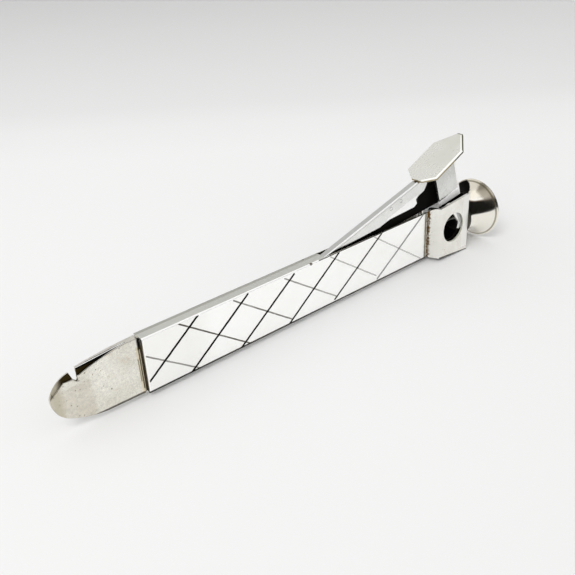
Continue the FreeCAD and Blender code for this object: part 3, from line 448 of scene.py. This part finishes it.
def sleeveMarks(tree, surface):
    place = drawingPlace(tree)
    paintPatches(tree, surface, place, sleeveFinish["facePatches"])
    flat = arrow(tree, "MULTIPLY", wander(tree, place, *latticeCuts["waver"]), (1, 0, 1))
    onFace = ease(tree, figure(tree, "ABSOLUTE", axis(tree, place, 1)), *latticeCuts["onFace"])
    pressure = ease(tree, cloud(tree, place, latticeCuts["pressureScale"], 4, 0.7), *latticeCuts["pressureEdge"])
    pressure = plus(tree, latticeCuts["leastPressure"], times(tree, pressure, 1 - latticeCuts["leastPressure"]))
    steep = times(tree, strokes(tree, flat, latticeCuts["steep"], latticeCuts["steepWidth"]), onFace)
    shallow = times(tree, strokes(tree, flat, latticeCuts["shallow"], latticeCuts["shallowWidth"]), onFace)
    shallow = times(tree, shallow, pressure)
    paint(tree, surface, shallow, latticeCuts["shallowColor"], roughness=0.2, covered=0.8)
    paint(tree, surface, steep, latticeCuts["steepColor"], roughness=0.2, covered=1.0)
    cut = times(tree, larger(tree, steep, shallow), latticeCuts["depth"])
    surface["height"] = minus(tree, surface["height"], cut)
    paintPatches(tree, surface, place, sleeveFinish["patches"])
    paintPitsAndGlints(tree, surface, place, sleeveFinish["pits"], sleeveFinish["pitColor"])
    paintInsideShade(tree, surface, place, sleeveFinish["inside"])


dress("engraved_sleeve", metal("engravedNickel", sleeveFinish, sleeveMarks))
print("sleeve dressed")


# notched tongue
tongueFinish = {
    "plate": (0.79, 0.775, 0.71), "dull": (0.70, 0.675, 0.60), "stain": (0.46, 0.37, 0.25),
    "dulling": 0.8, "staining": 0.6, "specks": 1.0, "grain": 0.7,
    "roughness": 0.27, "dullRoughness": 0.12, "brushedTurn": 25, "brushedShade": 0.15, "brushedDepth": 0.4,
    "scratches": 0.5, "scratchColor": (0.86, 0.85, 0.80),
    "edgeRadius": 0.25, "edgeWear": 0.6, "edgeColor": (0.45, 0.40, 0.28), "bump": 0.14,
    # the inner faces of the tongue's channel are painted near black: painted shade
    "inside": {"middle": (0, 0, 7.5), "reach": (0, 4, 0.1), "color": (0.03, 0.02, 0.006)},
    "patches": [
        {"middle": (-0.6, -0.75, 6.0), "half": (0.5, 0.3, 6.5), "soft": 0.4, "ragged": 0.7,
         "color": (0.80, 0.66, 0.40), "strength": 0.5},
        # painted shade: black at the top of the gap by the sleeve's end
        {"middle": (-0.35, -0.75, 13.6), "half": (0.25, 0.5, 1.5), "soft": 0.4, "ragged": 0.5,
         "color": (0.003, 0.003, 0.002), "strength": 1.0, "covered": 1.0},
        # painted shade: the black wedge below the top web, where the channel lies in shadow
        {"middle": (-9.6, -0.1, 13.6), "half": (6.2, 0.14, 1.35), "soft": 0.1, "ragged": 0.04,
         "color": (0.002, 0.002, 0.0015), "strength": 1.0, "covered": 1.0},
        {"middle": (-17.5, -0.3, 5.0), "half": (4.2, 0.3, 4.5), "soft": 0.9, "ragged": 2.6,
         "color": (0.44, 0.38, 0.27), "strength": 0.3},
        {"middle": (-21.8, -0.5, 7), "half": (0.9, 1, 5), "soft": 1.8, "ragged": 1.2,
         "color": (0.57, 0.53, 0.42), "strength": 0.75},
        # a dark line along the bottom edge: partly patina, partly painted shadow where the tongue meets the table
        {"middle": (-9.5, -0.75, 0.1), "half": (9.5, 0.6, 0.3), "soft": 0.2, "ragged": 0.15,
         "color": (0.05, 0.045, 0.03), "strength": 0.9, "covered": 0.9}],
    "pits": [(x, 0, z, radius) for x, z, radius in (
        (-16.8, 8.8, 0.175), (-15.7, 8.5, 0.14), (-18.4, 5.6, 0.154), (-17.1, 4.7, 0.14),
        (-10.3, 6.8, 0.154), (-15.1, 12.7, 0.126), (-10.3, 10.9, 0.14), (-12.3, 10.8, 0.14),
        (-11.4, 11.7, 0.126), (-21.5, 10.0, 0.14), (-21.8, 9.4, 0.14), (-19.2, 11.1, 0.126))],
    "pitColor": (0.30, 0.24, 0.15),
    # painted highlight: a white line along the top web's near edge
    "paintedHighlight": [((-3.6, -0.1, 15.0), (-15.6, -0.1, 14.1), 0.9)],
    "paintedHighlightWidth": 0.2, "paintedHighlightColor": (1.0, 1.0, 0.98),
    # streaks by the sleeve's end: partly tarnish, partly painted shade of the gap
    "streaks": [((-0.08, 0, 13), (-0.1, 0, 0.4), 1.0), ((-0.62, 0, 12.6), (-0.58, 0, 1.4), 0.9),
                ((-1.1, 0, 9.5), (-1.0, 0, 3.5), 0.55)],
    "streakWidth": 0.3, "streakColor": (0.05, 0.03, 0.01), "streakWaver": (1.4, 0.22)}


def tongueMarks(tree, surface):
    place = drawingPlace(tree)
    flat = arrow(tree, "MULTIPLY", place, (1, 0, 1))
    paintPitsAndGlints(tree, surface, flat, tongueFinish["pits"], tongueFinish["pitColor"])
    paintInsideShade(tree, surface, place, tongueFinish["inside"])
    paintPatches(tree, surface, place, tongueFinish["patches"])
    # dark streaks by the sleeve's end: tarnish, and painted shade of the gap
    ragged = arrow(tree, "MULTIPLY", wander(tree, place, *tongueFinish["streakWaver"]), (1, 0, 1))
    streak = strokes(tree, ragged, tongueFinish["streaks"], tongueFinish["streakWidth"])
    paint(tree, surface, streak, tongueFinish["streakColor"], roughness=0.2, covered=0.8)
    # painted highlight line
    paintedHighlight = strokes(tree, place, tongueFinish["paintedHighlight"], tongueFinish["paintedHighlightWidth"])
    paint(tree, surface, paintedHighlight, tongueFinish["paintedHighlightColor"], roughness=0.0, covered=0.8)


dress("opener_tongue", metal("wornNickel", tongueFinish, tongueMarks))
print("tongue dressed")


# square head
headFinish = {
    "plate": (0.845, 0.835, 0.79), "dull": (0.72, 0.705, 0.64), "stain": (0.46, 0.42, 0.33),
    "dulling": 0.6, "staining": 0.2, "specks": 0.2, "grain": 0.06,
    "roughness": 0.22, "dullRoughness": 0.10, "brushedTurn": 80, "brushedShade": 0.06, "brushedDepth": 0.6,
    "scratches": 0.5, "scratchColor": (0.88, 0.87, 0.84),
    "edgeRadius": 0.18, "edgeWear": 0.4, "edgeColor": (0.90, 0.89, 0.84), "bump": 0.09,
    # the faces inside the head are painted near black: painted shade
    "inside": {"middle": (105.4, 0, 8.3), "reach": (1, 1, 1), "upTo": 17.6, "within": 4.46, "beyond": -4.2,
               "from": 99.6, "color": (0.004, 0.004, 0.003)},
    # painted shadow: a black line along the head's bottom edge
    "lower": [((99.9, 0, -0.1), (112.6, 0, -1.28), 0.9)], "lowerWidth": 0.55, "lowerColor": (0.02, 0.02, 0.014),
    "patches": [
        {"middle": (98.0, 0, 6.5), "half": (0.24, 3, 9), "soft": 0.22, "ragged": 1.2,
         "color": (0.12, 0.062, 0.014), "strength": 1.0, "covered": 0.95},
        {"middle": (97.1, 0, 8.5), "half": (0.2, 3, 9), "soft": 0.2, "ragged": 0.3,
         "color": (0.03, 0.028, 0.01), "strength": 1.0, "covered": 0.9},
        # painted light: the near wall's right end in a matt pale tone in place of its reflection
        {"middle": (111.6, -5, 8.5), "half": (1.3, 0.3, 8), "soft": 0.8, "ragged": 0.3,
         "color": (0.84, 0.83, 0.79), "strength": 0.9, "covered": 0.95}],
    "insidePatches": [
        # painted light: white on the far wall's inner face
        {"middle": (108.6, 4.45, 11.2), "half": (1.7, 0.2, 0.9), "soft": 0.15, "ragged": 0.05,
         "color": (1.0, 1.0, 1.0), "strength": 1.0, "covered": 0.9},
        {"middle": (105.4, 4.45, 11.1), "half": (4.3, 0.2, 1.5), "soft": 0.15, "ragged": 0.05,
         "color": (1.0, 1.0, 1.0), "strength": 1.0, "covered": 0.9},
        # painted light: the side hole's bore in a matt pale tone
        {"middle": (105.9, -4.7, 8.27), "half": (4.57, 0.2, 4.57), "soft": 0.06, "ragged": 0.0,
         "color": (0.52, 0.52, 0.43), "strength": 1.0, "covered": 1.0},
        # painted shade: black along the end wall's top
        {"middle": (112.4, -1.5, 17.3), "half": (0.4, 3.2, 0.3), "soft": 0.1, "ragged": 0.05,
         "color": (0.004, 0.004, 0.003), "strength": 1.0, "covered": 1.0}]}


def headMarks(tree, surface):
    place = drawingPlace(tree)
    paintPatches(tree, surface, place, headFinish["patches"])
    paintInsideShade(tree, surface, place, headFinish["inside"])
    paintPatches(tree, surface, place, headFinish["insidePatches"])
    flat = arrow(tree, "MULTIPLY", place, (1, 0, 1))
    # painted shadow along the bottom edge
    lower = strokes(tree, flat, headFinish["lower"], headFinish["lowerWidth"])
    paint(tree, surface, lower, headFinish["lowerColor"], roughness=0.2, covered=1.0)


dress("cutter_head", metal("headNickel", headFinish, headMarks))
print("head dressed")


# trumpet cup
cupFinish = {
    "plate": (0.85, 0.83, 0.775), "dull": (0.80, 0.765, 0.67), "stain": (0.50, 0.43, 0.28),
    "dulling": 0.5, "staining": 0.25, "specks": 0.1, "grain": 0.04,
    "roughness": 0.13, "dullRoughness": 0.06, "brushedTurn": 0, "brushedShade": 0.03, "brushedDepth": 0.2,
    "scratches": 0.3, "scratchColor": (0.92, 0.90, 0.86),
    "edgeRadius": 0.1, "edgeWear": 0.3, "edgeColor": (0.92, 0.91, 0.88), "bump": 0.03,
    "patches": [
        # dark at the neck by the head: partly tarnish, partly painted shade in the recess
        {"middle": (113.0, 0, 8.27), "half": (0.4, 7, 7), "soft": 0.4, "ragged": 0.3,
         "color": (0.03, 0.026, 0.011), "strength": 0.9, "covered": 0.8},
        {"middle": (118, 0, 18), "half": (6, 10, 4.0), "soft": 1.5, "ragged": 1.2,
         "color": (0.86, 0.79, 0.63), "strength": 0.5},
        {"middle": (121.2, -5.5, 14.2), "half": (0.7, 3.2, 2.6), "soft": 1.0, "ragged": 0.7,
         "color": (0.16, 0.11, 0.05), "strength": 0.5},
        {"middle": (121.9, 0, 8.27), "half": (0.03, 10, 10), "soft": 0.22, "ragged": 0.1,
         "color": (0.20, 0.17, 0.10), "strength": 0.8}],
    # throat: the lower inside of the bore, painted black as shade
    "throat": {"middle": (0, 0, 8.27), "inward": (0.5, 1.0), "risen": (0.60, 0.70), "until": (117.5, 119.0)},
    # painted dark reflection: where the horn's back is painted black
    "back": {"slant": (0.571, 1, 0), "turned": (-0.30, -0.26), "risen": (0.32, 0.42), "outward": (-0.3, -0.2),
             "rim": (122.0, 122.3), "color": (0.002, 0.002, 0.0015)},
    # painted highlight: a small pale glint on the cup
    "glint": [(118.3, 2.3, 14.1, 0.5)], "glintColor": (0.8, 0.8, 0.78)}


def cupMarks(tree, surface):
    place = drawingPlace(tree)
    paintPatches(tree, surface, place, cupFinish["patches"])
    facing = addNode(tree, "ShaderNodeNewGeometry").outputs["Normal"]
    rise, along = axis(tree, facing, 2), axis(tree, place, 0)
    back = cupFinish["back"]  # the horn's back, turned towards the head, is painted black: a painted dark reflection
    turned = ease(tree, length(tree, "DOT_PRODUCT", facing, back["slant"]), *back["turned"])
    outer = times(tree, below(tree, axis(tree, facing, 0), *back["outward"]), below(tree, along, *back["rim"]))
    dark = times(tree, times(tree, turned, ease(tree, rise, *back["risen"])), outer)
    paint(tree, surface, dark, back["color"], roughness=0.1, covered=1.0)
    # painted shade: the throat's lower inner faces painted black
    throat = cupFinish["throat"]
    inward = arrow(tree, "SUBTRACT", throat["middle"], arrow(tree, "MULTIPLY", place, (0, 1, 1)))
    looksIn = ease(tree, length(tree, "DOT_PRODUCT", inward, facing), *throat["inward"])
    floor = times(tree, looksIn, ease(tree, rise, *throat["risen"]))
    floor = times(tree, floor, below(tree, along, *throat["until"]))
    paint(tree, surface, floor, back["color"], roughness=0.3, covered=1.0)
    # paints the cup's glint: a painted highlight
    paintPitsAndGlints(tree, surface, place, cupFinish["glint"], cupFinish["glintColor"])


dress("trumpet_cup", metal("cupNickel", cupFinish, cupMarks))
print("cup dressed")


# lever, its rivets and the thumb plate
leverFinish = {
    "plate": (0.80, 0.80, 0.785), "dull": (0.72, 0.72, 0.70), "stain": (0.50, 0.46, 0.38),
    "dulling": 0.5, "staining": 0.2, "specks": 0.15, "grain": 0.04,
    "roughness": 0.20, "dullRoughness": 0.10, "brushedTurn": 16, "brushedShade": 0.18, "brushedDepth": 0.8,
    "scratches": 0.6, "scratchColor": (0.62, 0.62, 0.60),
    "edgeRadius": 0.15, "edgeWear": 0.3, "edgeColor": (0.92, 0.92, 0.90), "bump": 0.10,
    # the lever's inner faces are painted near black: painted shade
    "inside": {"middle": (0, 0, 0), "reach": (0, 1, 0), "color": (0.012, 0.011, 0.010)},
    "patches": [
        # painted shade: the top face's far part darker grey
        {"middle": (26, 0.15, 1.4), "half": (22, 0.8, 0.1), "soft": 0.12, "ragged": 0.2,
         "color": (0.50, 0.50, 0.48), "strength": 0.7},
        # painted highlight: a white line along the top's near fold
        {"middle": (26, -0.93, 1.4), "half": (22, 0.12, 0.25), "soft": 0.1, "ragged": 0.05,
         "color": (1.0, 1.0, 0.99), "strength": 0.9, "covered": 0.8},
        # painted highlight: a white sliver on the flange's lower part
        {"middle": (36.7, -1.0, -4.3), "half": (6.5, 0.3, 1.95), "soft": 0.2, "ragged": 0.15,
         "color": (1.0, 1.0, 0.99), "strength": 0.9, "covered": 0.8}],
    "line": [((8, 0, 0.85), (47.8, 0, 0.85), 0.45)], "lineWidth": 0.2, "lineColor": (0.30, 0.29, 0.26),
    "lineWaver": (0.4, 0.1), "onFace": (0.90, 0.98)}


def leverMarks(tree, surface):
    place = leverPlace(tree)
    flat = arrow(tree, "MULTIPLY", wander(tree, place, *leverFinish["lineWaver"]), (1, 0, 1))
    onFace = ease(tree, figure(tree, "ABSOLUTE", axis(tree, place, 1)), *leverFinish["onFace"])
    line = strokes(tree, flat, leverFinish["line"], leverFinish["lineWidth"])
    paint(tree, surface, times(tree, line, onFace), leverFinish["lineColor"])
    paintInsideShade(tree, surface, place, leverFinish["inside"])
    paintPatches(tree, surface, place, leverFinish["patches"])


plateFinish = {
    "metallic": 0.5,
    "plate": (0.71, 0.705, 0.66), "dull": (0.65, 0.645, 0.58), "stain": (0.45, 0.41, 0.29),
    "dulling": 0.7, "staining": 0.3, "specks": 0.25, "grain": 0.10,
    "roughness": 0.26, "dullRoughness": 0.10, "brushedTurn": 25, "brushedShade": 0.08, "brushedDepth": 0.4,
    "scratches": 0.4, "scratchColor": (0.84, 0.83, 0.78),
    "edgeRadius": 0.16, "edgeWear": 0.7, "edgeColor": (0.99, 0.98, 0.90), "bump": 0.08,
    "patches": [
        {"middle": (0, 0, -0.47), "half": (12, 6, 0.2), "soft": 0.1, "ragged": 0.08,
         "color": (0.30, 0.23, 0.09), "strength": 0.95, "covered": 0.5},
        # painted shade: a dark line along the near lower edge, mirroring the shade under the plate
        {"middle": (6.5, -3.2, -0.45), "half": (6, 3, 0.22), "soft": 0.1, "ragged": 0.15,
         "color": (0.03, 0.027, 0.015), "strength": 0.95, "covered": 0.8},
        # painted dark reflection on the front end
        {"middle": (10.5, 0, -0.38), "half": (0.2, 1.2, 0.28), "soft": 0.15, "ragged": 0.15,
         "color": (0.08, 0.08, 0.04), "strength": 0.9}],
    # painted highlights: cream-white lines along the plate's near side and rear end
    "paintedHighlight": [((-7.8, -5.2, 0), (4.5, -5.2, 0), 0.95), ((4.3, -5.0, 0), (9.9, -0.9, 0), 0.7),
               ((-7.8, -5.2, 0), (-10.3, -2.0, 0), 0.9)],
    "front": [((4.7, -5.35, 0), (10.5, -0.9, 0), 0.95), ((10.5, -0.9, 0), (10.5, 0.9, 0), 0.8)],
    "edgeWidth": 0.72, "paintedHighlightColor": (1.0, 1.0, 0.96), "frontColor": (0.07, 0.07, 0.035)}


def plateMarks(tree, surface):
    place = platePlace(tree)
    paintPatches(tree, surface, place, plateFinish["patches"])
    # painted highlight lines
    paintedHighlight = strokes(tree, place, plateFinish["paintedHighlight"], plateFinish["edgeWidth"])
    paint(tree, surface, paintedHighlight, plateFinish["paintedHighlightColor"], roughness=0.0, covered=0.7)
    # painted dark reflection along the front end
    front = strokes(tree, place, plateFinish["front"], plateFinish["edgeWidth"])
    paint(tree, surface, front, plateFinish["frontColor"], roughness=0.1, covered=0.6)


leverSteel = metal("leverSteel", leverFinish, leverMarks)
dress("lever", leverSteel)
dress("arm_rivets", leverSteel)
dress("thumb_plate", metal("plateNickel", plateFinish, plateMarks))
print("lever dressed")


# knives, holder and arm
knifeFinish = {
    "plate": (0.75, 0.75, 0.73), "dull": (0.66, 0.66, 0.64), "stain": (0.42, 0.38, 0.30),
    "dulling": 0.5, "staining": 0.2, "specks": 0.1, "grain": 0.05,
    "roughness": 0.24, "dullRoughness": 0.1, "brushedTurn": 100, "brushedShade": 0.12, "brushedDepth": 1.0,
    "scratches": 0.8, "scratchColor": (0.82, 0.82, 0.80),
    "edgeRadius": 0.08, "edgeWear": 0.4, "edgeColor": (0.90, 0.90, 0.88), "bump": 0.12,
    # the ground edge strips painted matt white: a painted highlight
    "ground": [
        {"middle": (54.4, -2.7, -10.3), "half": (6, 0.6, 1.95), "soft": 0.15, "ragged": 0.1,
         "color": (1.0, 1.0, 0.99), "strength": 1.0, "rough": 0.0, "covered": 0.9},
        {"middle": (58.9, -2.7, -5.0), "half": (0.9, 0.6, 12), "soft": 0.15, "ragged": 0.1,
         "color": (1.0, 1.0, 0.99), "strength": 0.95, "rough": 0.0, "covered": 0.8}]}
# near black and matt: dark steel, with painted shade for the deep shadow around the arm and holder
holderFinish = {
    "metallic": 0.0, "plate": (0.004, 0.004, 0.0035), "dull": (0.008, 0.007, 0.006), "stain": (0.03, 0.02, 0.015),
    "dulling": 0.6, "staining": 0.3, "specks": 0.2, "grain": 0.2,
    "roughness": 0.50, "dullRoughness": 0.2, "brushedTurn": 10, "brushedShade": 0.1, "brushedDepth": 0.4,
    "scratches": 0.2, "scratchColor": (0.06, 0.06, 0.055),
    "edgeRadius": 0.1, "edgeWear": 0.3, "edgeColor": (0.06, 0.055, 0.05), "bump": 0.2}


def knifeMarks(tree, surface):
    # paints the knife's edge strips white: painted highlight
    paintPatches(tree, surface, leverPlace(tree), knifeFinish["ground"])


knifeSteel = metal("knifeSteel", knifeFinish, knifeMarks)
darkSteel = metal("blackenedSteelPaintedShade", holderFinish)
dress("straight_knife", knifeSteel)
dress("vee_blade", knifeSteel)
dress("blade_holder", darkSteel)
dress("blade_arm", darkSteel)
print("knives dressed")


# inner pieces and rivets
innerFinish = {
    "plate": (0.12, 0.115, 0.10), "dull": (0.08, 0.075, 0.065), "stain": (0.07, 0.045, 0.02),
    "dulling": 0.8, "staining": 0.6, "specks": 0.4, "grain": 0.15,
    "roughness": 0.40, "dullRoughness": 0.2, "brushedTurn": 0, "brushedShade": 0.15, "brushedDepth": 0.6,
    "scratches": 0.5, "scratchColor": (0.25, 0.24, 0.22),
    "edgeRadius": 0.1, "edgeWear": 0.5, "edgeColor": (0.36, 0.34, 0.30), "bump": 0.15}
rivetFinish = {
    "plate": (0.66, 0.66, 0.64), "dull": (0.54, 0.54, 0.51), "stain": (0.34, 0.30, 0.22),
    "dulling": 0.7, "staining": 0.4, "specks": 0.2, "grain": 0.08,
    "roughness": 0.30, "dullRoughness": 0.15, "brushedTurn": 45, "brushedShade": 0.1, "brushedDepth": 0.5,
    "scratches": 0.5, "scratchColor": (0.75, 0.75, 0.72),
    "edgeRadius": 0.08, "edgeWear": 0.4, "edgeColor": (0.36, 0.34, 0.30), "bump": 0.12}

# near black: painted shade, as the plate lies in shadow inside the head
shearFinish = dict(
    innerFinish, metallic=0.3, plate=(0.006, 0.006, 0.005), dull=(0.01, 0.009, 0.007), edgeWear=0.0, scratches=0.1,
    # painted light: pale on the plate's front face beside the side hole
    patches=[
        {"middle": (110.2, -3.4, 9.4), "half": (2.0, 0.6, 3.1), "soft": 0.3, "ragged": 0.1,
         "color": (0.95, 0.95, 0.92), "strength": 1.0, "covered": 1.0}])


def shearMarks(tree, surface):
    paintPatches(tree, surface, drawingPlace(tree), shearFinish["patches"])


tarnishedSteel = metal("tarnishedSteel", innerFinish)
dress("shear_plate", metal("shearSteel", shearFinish, shearMarks))
rivetSteel = metal("rivetSteel", rivetFinish)
for piece in ("near_liner", "far_liner", "spine_bar", "tang_shim", "shear_plate_spacers",
              "lever_spring", "spring_rivet", "cup_ring", "frame_rivets"):
    dress(piece, tarnishedSteel)
for piece in ("lever_pin", "holder_rivets"):
    dress(piece, rivetSteel)
print("inner pieces dressed")


def mirrorRays(tree):  # 1 for what polished metal mirrors, not for what matt faces gather
    light = addNode(tree, "ShaderNodeLightPath").outputs
    sharp = below(tree, light["Diffuse Depth"], 0.3, 0.7)  # the depth counts in whole steps
    return times(tree, light["Is Glossy Ray"], sharp)


# table and backdrop: a pale sheet that sweeps up behind and is darker far off
tableStyle = {
    "front": -1.4, "flatUntil": 1.0, "sweepRadius": 0.3, "wallTop": 1.0, "halfWidth": 1.6, "azimuth": 39.08,
    "steps": 24, "rows": (-0.3, 0.0, 0.3), "columns": (-1, -0.3, 0, 0.3, 1),
    "shades": [(-0.085, 0.80), (0.0, 0.85), (0.14, 0.91), (0.183, 0.895), (0.218, 0.85),
               (0.31, 0.63), (0.4, 0.62), (0.45, 0.62), (0.518, 0.67), (0.65, 0.74)],
    "shadeStart": -0.1, "shadeReach": 0.8, "warmth": 0.995, "fibreScale": 9.0, "fibreShade": 0.02,
    "roughness": 0.6, "specular": 0.1, "mirrored": 0.14, "mirrorEnd": (-0.066, -0.058)}


def makeTable(style):
    flat, radius = style["flatUntil"], style["sweepRadius"]
    profile = [(along, 0.0) for along in (style["front"], *style["rows"], flat)]
    for step in range(1, style["steps"] + 1):
        turn = math.pi / 2 * step / style["steps"]
        profile.append((flat + radius * math.sin(turn), radius * (1 - math.cos(turn))))
    profile.append((flat + radius, style["wallTop"]))
    mesh = bmesh.new()
    rows = [[mesh.verts.new((side * style["halfWidth"], along, up)) for side in style["columns"]]
            for along, up in profile]
    for low, high in zip(rows, rows[1:]):
        for i in range(len(low) - 1):
            mesh.faces.new((low[i], low[i + 1], high[i + 1], high[i])).smooth = True
    data = bpy.data.meshes.new("table")
    mesh.to_mesh(data)
    mesh.free()
    table = bpy.data.objects.new("table", data)
    table.rotation_euler = (0, 0, -math.radians(style["azimuth"]))
    bpy.context.scene.collection.objects.link(table)
    return table


def tablePaper(style):
    material = bpy.data.materials.new("tablePaper")
    material.use_nodes = True
    tree = material.node_tree
    tree.nodes.clear()
    place = addNode(tree, "ShaderNodeTexCoord").outputs["Object"]
    away = minus(tree, axis(tree, place, 1), style["shadeStart"])
    ramp = addNode(tree, "ShaderNodeValToRGB", {0: figure(tree, "DIVIDE", away, style["shadeReach"])})
    stops = ramp.color_ramp.elements
    stops.remove(stops[1])
    for i, (along, shade) in enumerate(style["shades"]):
        stop = stops[0] if i == 0 else stops.new(0.5)
        stop.position = (along - style["shadeStart"]) / style["shadeReach"]
        stop.color = (shade, shade, shade * style["warmth"], 1)
    fibres = times(tree, cloud(tree, place, style["fibreScale"], 2), style["fibreShade"])
    color = scaled(tree, ramp.outputs[0], plus(tree, 1 - style["fibreShade"] / 2, fibres))
    shader = addNode(tree, "ShaderNodeBsdfPrincipled", {
        "Base Color": color, "Roughness": style["roughness"], "Specular IOR Level": style["specular"]})
    mirrored = mirrorRays(tree)
    strength = times(tree, mirrored, style["mirrored"])
    glow = addNode(tree, "ShaderNodeEmission", {"Color": ramp.outputs[0], "Strength": strength})
    both = addNode(tree, "ShaderNodeAddShader", {0: shader.outputs[0], 1: glow.outputs[0]})
    # in the polished metal the pale sheet ends in front of the object, and the dark room begins
    turn = math.radians(style["azimuth"])
    front = length(tree, "DOT_PRODUCT", place, (-math.sin(turn), math.cos(turn), 0))
    ended = times(tree, below(tree, front, *style["mirrorEnd"]), mirrored)
    nothing = addNode(tree, "ShaderNodeEmission", {"Color": (0, 0, 0)})
    shown = addNode(tree, "ShaderNodeMixShader", {0: ended, 1: both.outputs[0], 2: nothing.outputs[0]})
    addNode(tree, "ShaderNodeOutputMaterial", {"Surface": shown.outputs[0]})
    return material


table = makeTable(tableStyle)
table.data.materials.append(tablePaper(tableStyle))
print("table made")


# light: a white tent on the left, and a dark room before it that only the polished metal shows
roomLight = {
    "sky": (0.83, 0.83, 0.83), "dark": (0.004, 0.004, 0.003), "behindCamera": (0.88, 0.88, 0.87),
    "tentTowards": (-0.363, 0.423, 0.830), "tentEdge": (0.41, 0.50), "tentShade": 0.82,
    "dim": (0.16, 0.09, 0.035), "dimEdge": (0.36, 0.43),
    "tentRim": (0.56, 0.68), "rimExtra": 0.36, "top": (0.90, 0.95), "topExtra": 0.30,
    "lampPlace": (-0.42, -0.24, 0.535), "lampSize": 0.3, "lampPower": 2.0}


def makeRoom(style):
    world = bpy.data.worlds.new("room")
    bpy.context.scene.world = world
    world.use_nodes = True
    tree = world.node_tree
    tree.nodes.clear()
    way = addNode(tree, "ShaderNodeTexCoord").outputs["Generated"]
    near = length(tree, "DOT_PRODUCT", way, style["tentTowards"])
    rim = times(tree, below(tree, near, *style["tentRim"]), style["rimExtra"])
    top = times(tree, ease(tree, axis(tree, way, 2), *style["top"]), style["topExtra"])
    level = plus(tree, style["tentShade"], larger(tree, rim, top))
    room = tint(tree, ease(tree, near, *style["dimEdge"]), style["dark"], style["dim"])
    tent = tint(tree, ease(tree, near, *style["tentEdge"]), room, scaled(tree, (1, 1, 1), level))
    color = tint(tree, mirrorRays(tree), style["sky"], tent)
    seen = addNode(tree, "ShaderNodeLightPath").outputs["Is Camera Ray"]
    color = tint(tree, seen, color, style["behindCamera"])
    background = addNode(tree, "ShaderNodeBackground", {"Color": color, "Strength": 1.0})
    addNode(tree, "ShaderNodeOutputWorld", {"Surface": background.outputs[0]})
    lamp = bpy.data.lights.new("softbox", "AREA")
    lamp.shape = "SQUARE"
    lamp.size = style["lampSize"]
    lamp.energy = style["lampPower"]
    lampObject = bpy.data.objects.new("softbox", lamp)
    lampObject.location = style["lampPlace"]
    lampObject.rotation_euler = (-Vector(style["lampPlace"])).to_track_quat("-Z", "Y").to_euler()
    lampObject.visible_glossy = False
    bpy.context.scene.collection.objects.link(lampObject)


makeRoom(roomLight)
bpy.context.scene.view_settings.view_transform = "Standard"
print("light made")


# camera, fitted to the photograph
cameraStyle = {
    "place": (-0.11701, -0.13716, 0.10879), "azimuth": 39.08, "elevation": 28.89, "roll": -3.16,
    "lens": 48.5, "sensor": 36, "nearest": 0.005}


def makeCamera(style):
    azimuth, elevation, roll = (math.radians(style[part]) for part in ("azimuth", "elevation", "roll"))
    level = math.cos(elevation)
    forward = Vector((math.sin(azimuth) * level, math.cos(azimuth) * level, -math.sin(elevation)))
    flatRight = forward.cross(Vector((0, 0, 1))).normalized()
    above = flatRight.cross(forward)
    right = flatRight * math.cos(roll) + above * math.sin(roll)
    up = above * math.cos(roll) - flatRight * math.sin(roll)
    camera = bpy.data.cameras.new("photoCamera")
    camera.lens = style["lens"]
    camera.sensor_width = style["sensor"]
    camera.clip_start = style["nearest"]
    cameraObject = bpy.data.objects.new("photoCamera", camera)
    turned = Matrix((right, up, -forward)).transposed().to_4x4()
    cameraObject.matrix_world = Matrix.Translation(style["place"]) @ turned
    bpy.context.scene.collection.objects.link(cameraObject)
    bpy.context.scene.camera = cameraObject


makeCamera(cameraStyle)
print("camera placed")
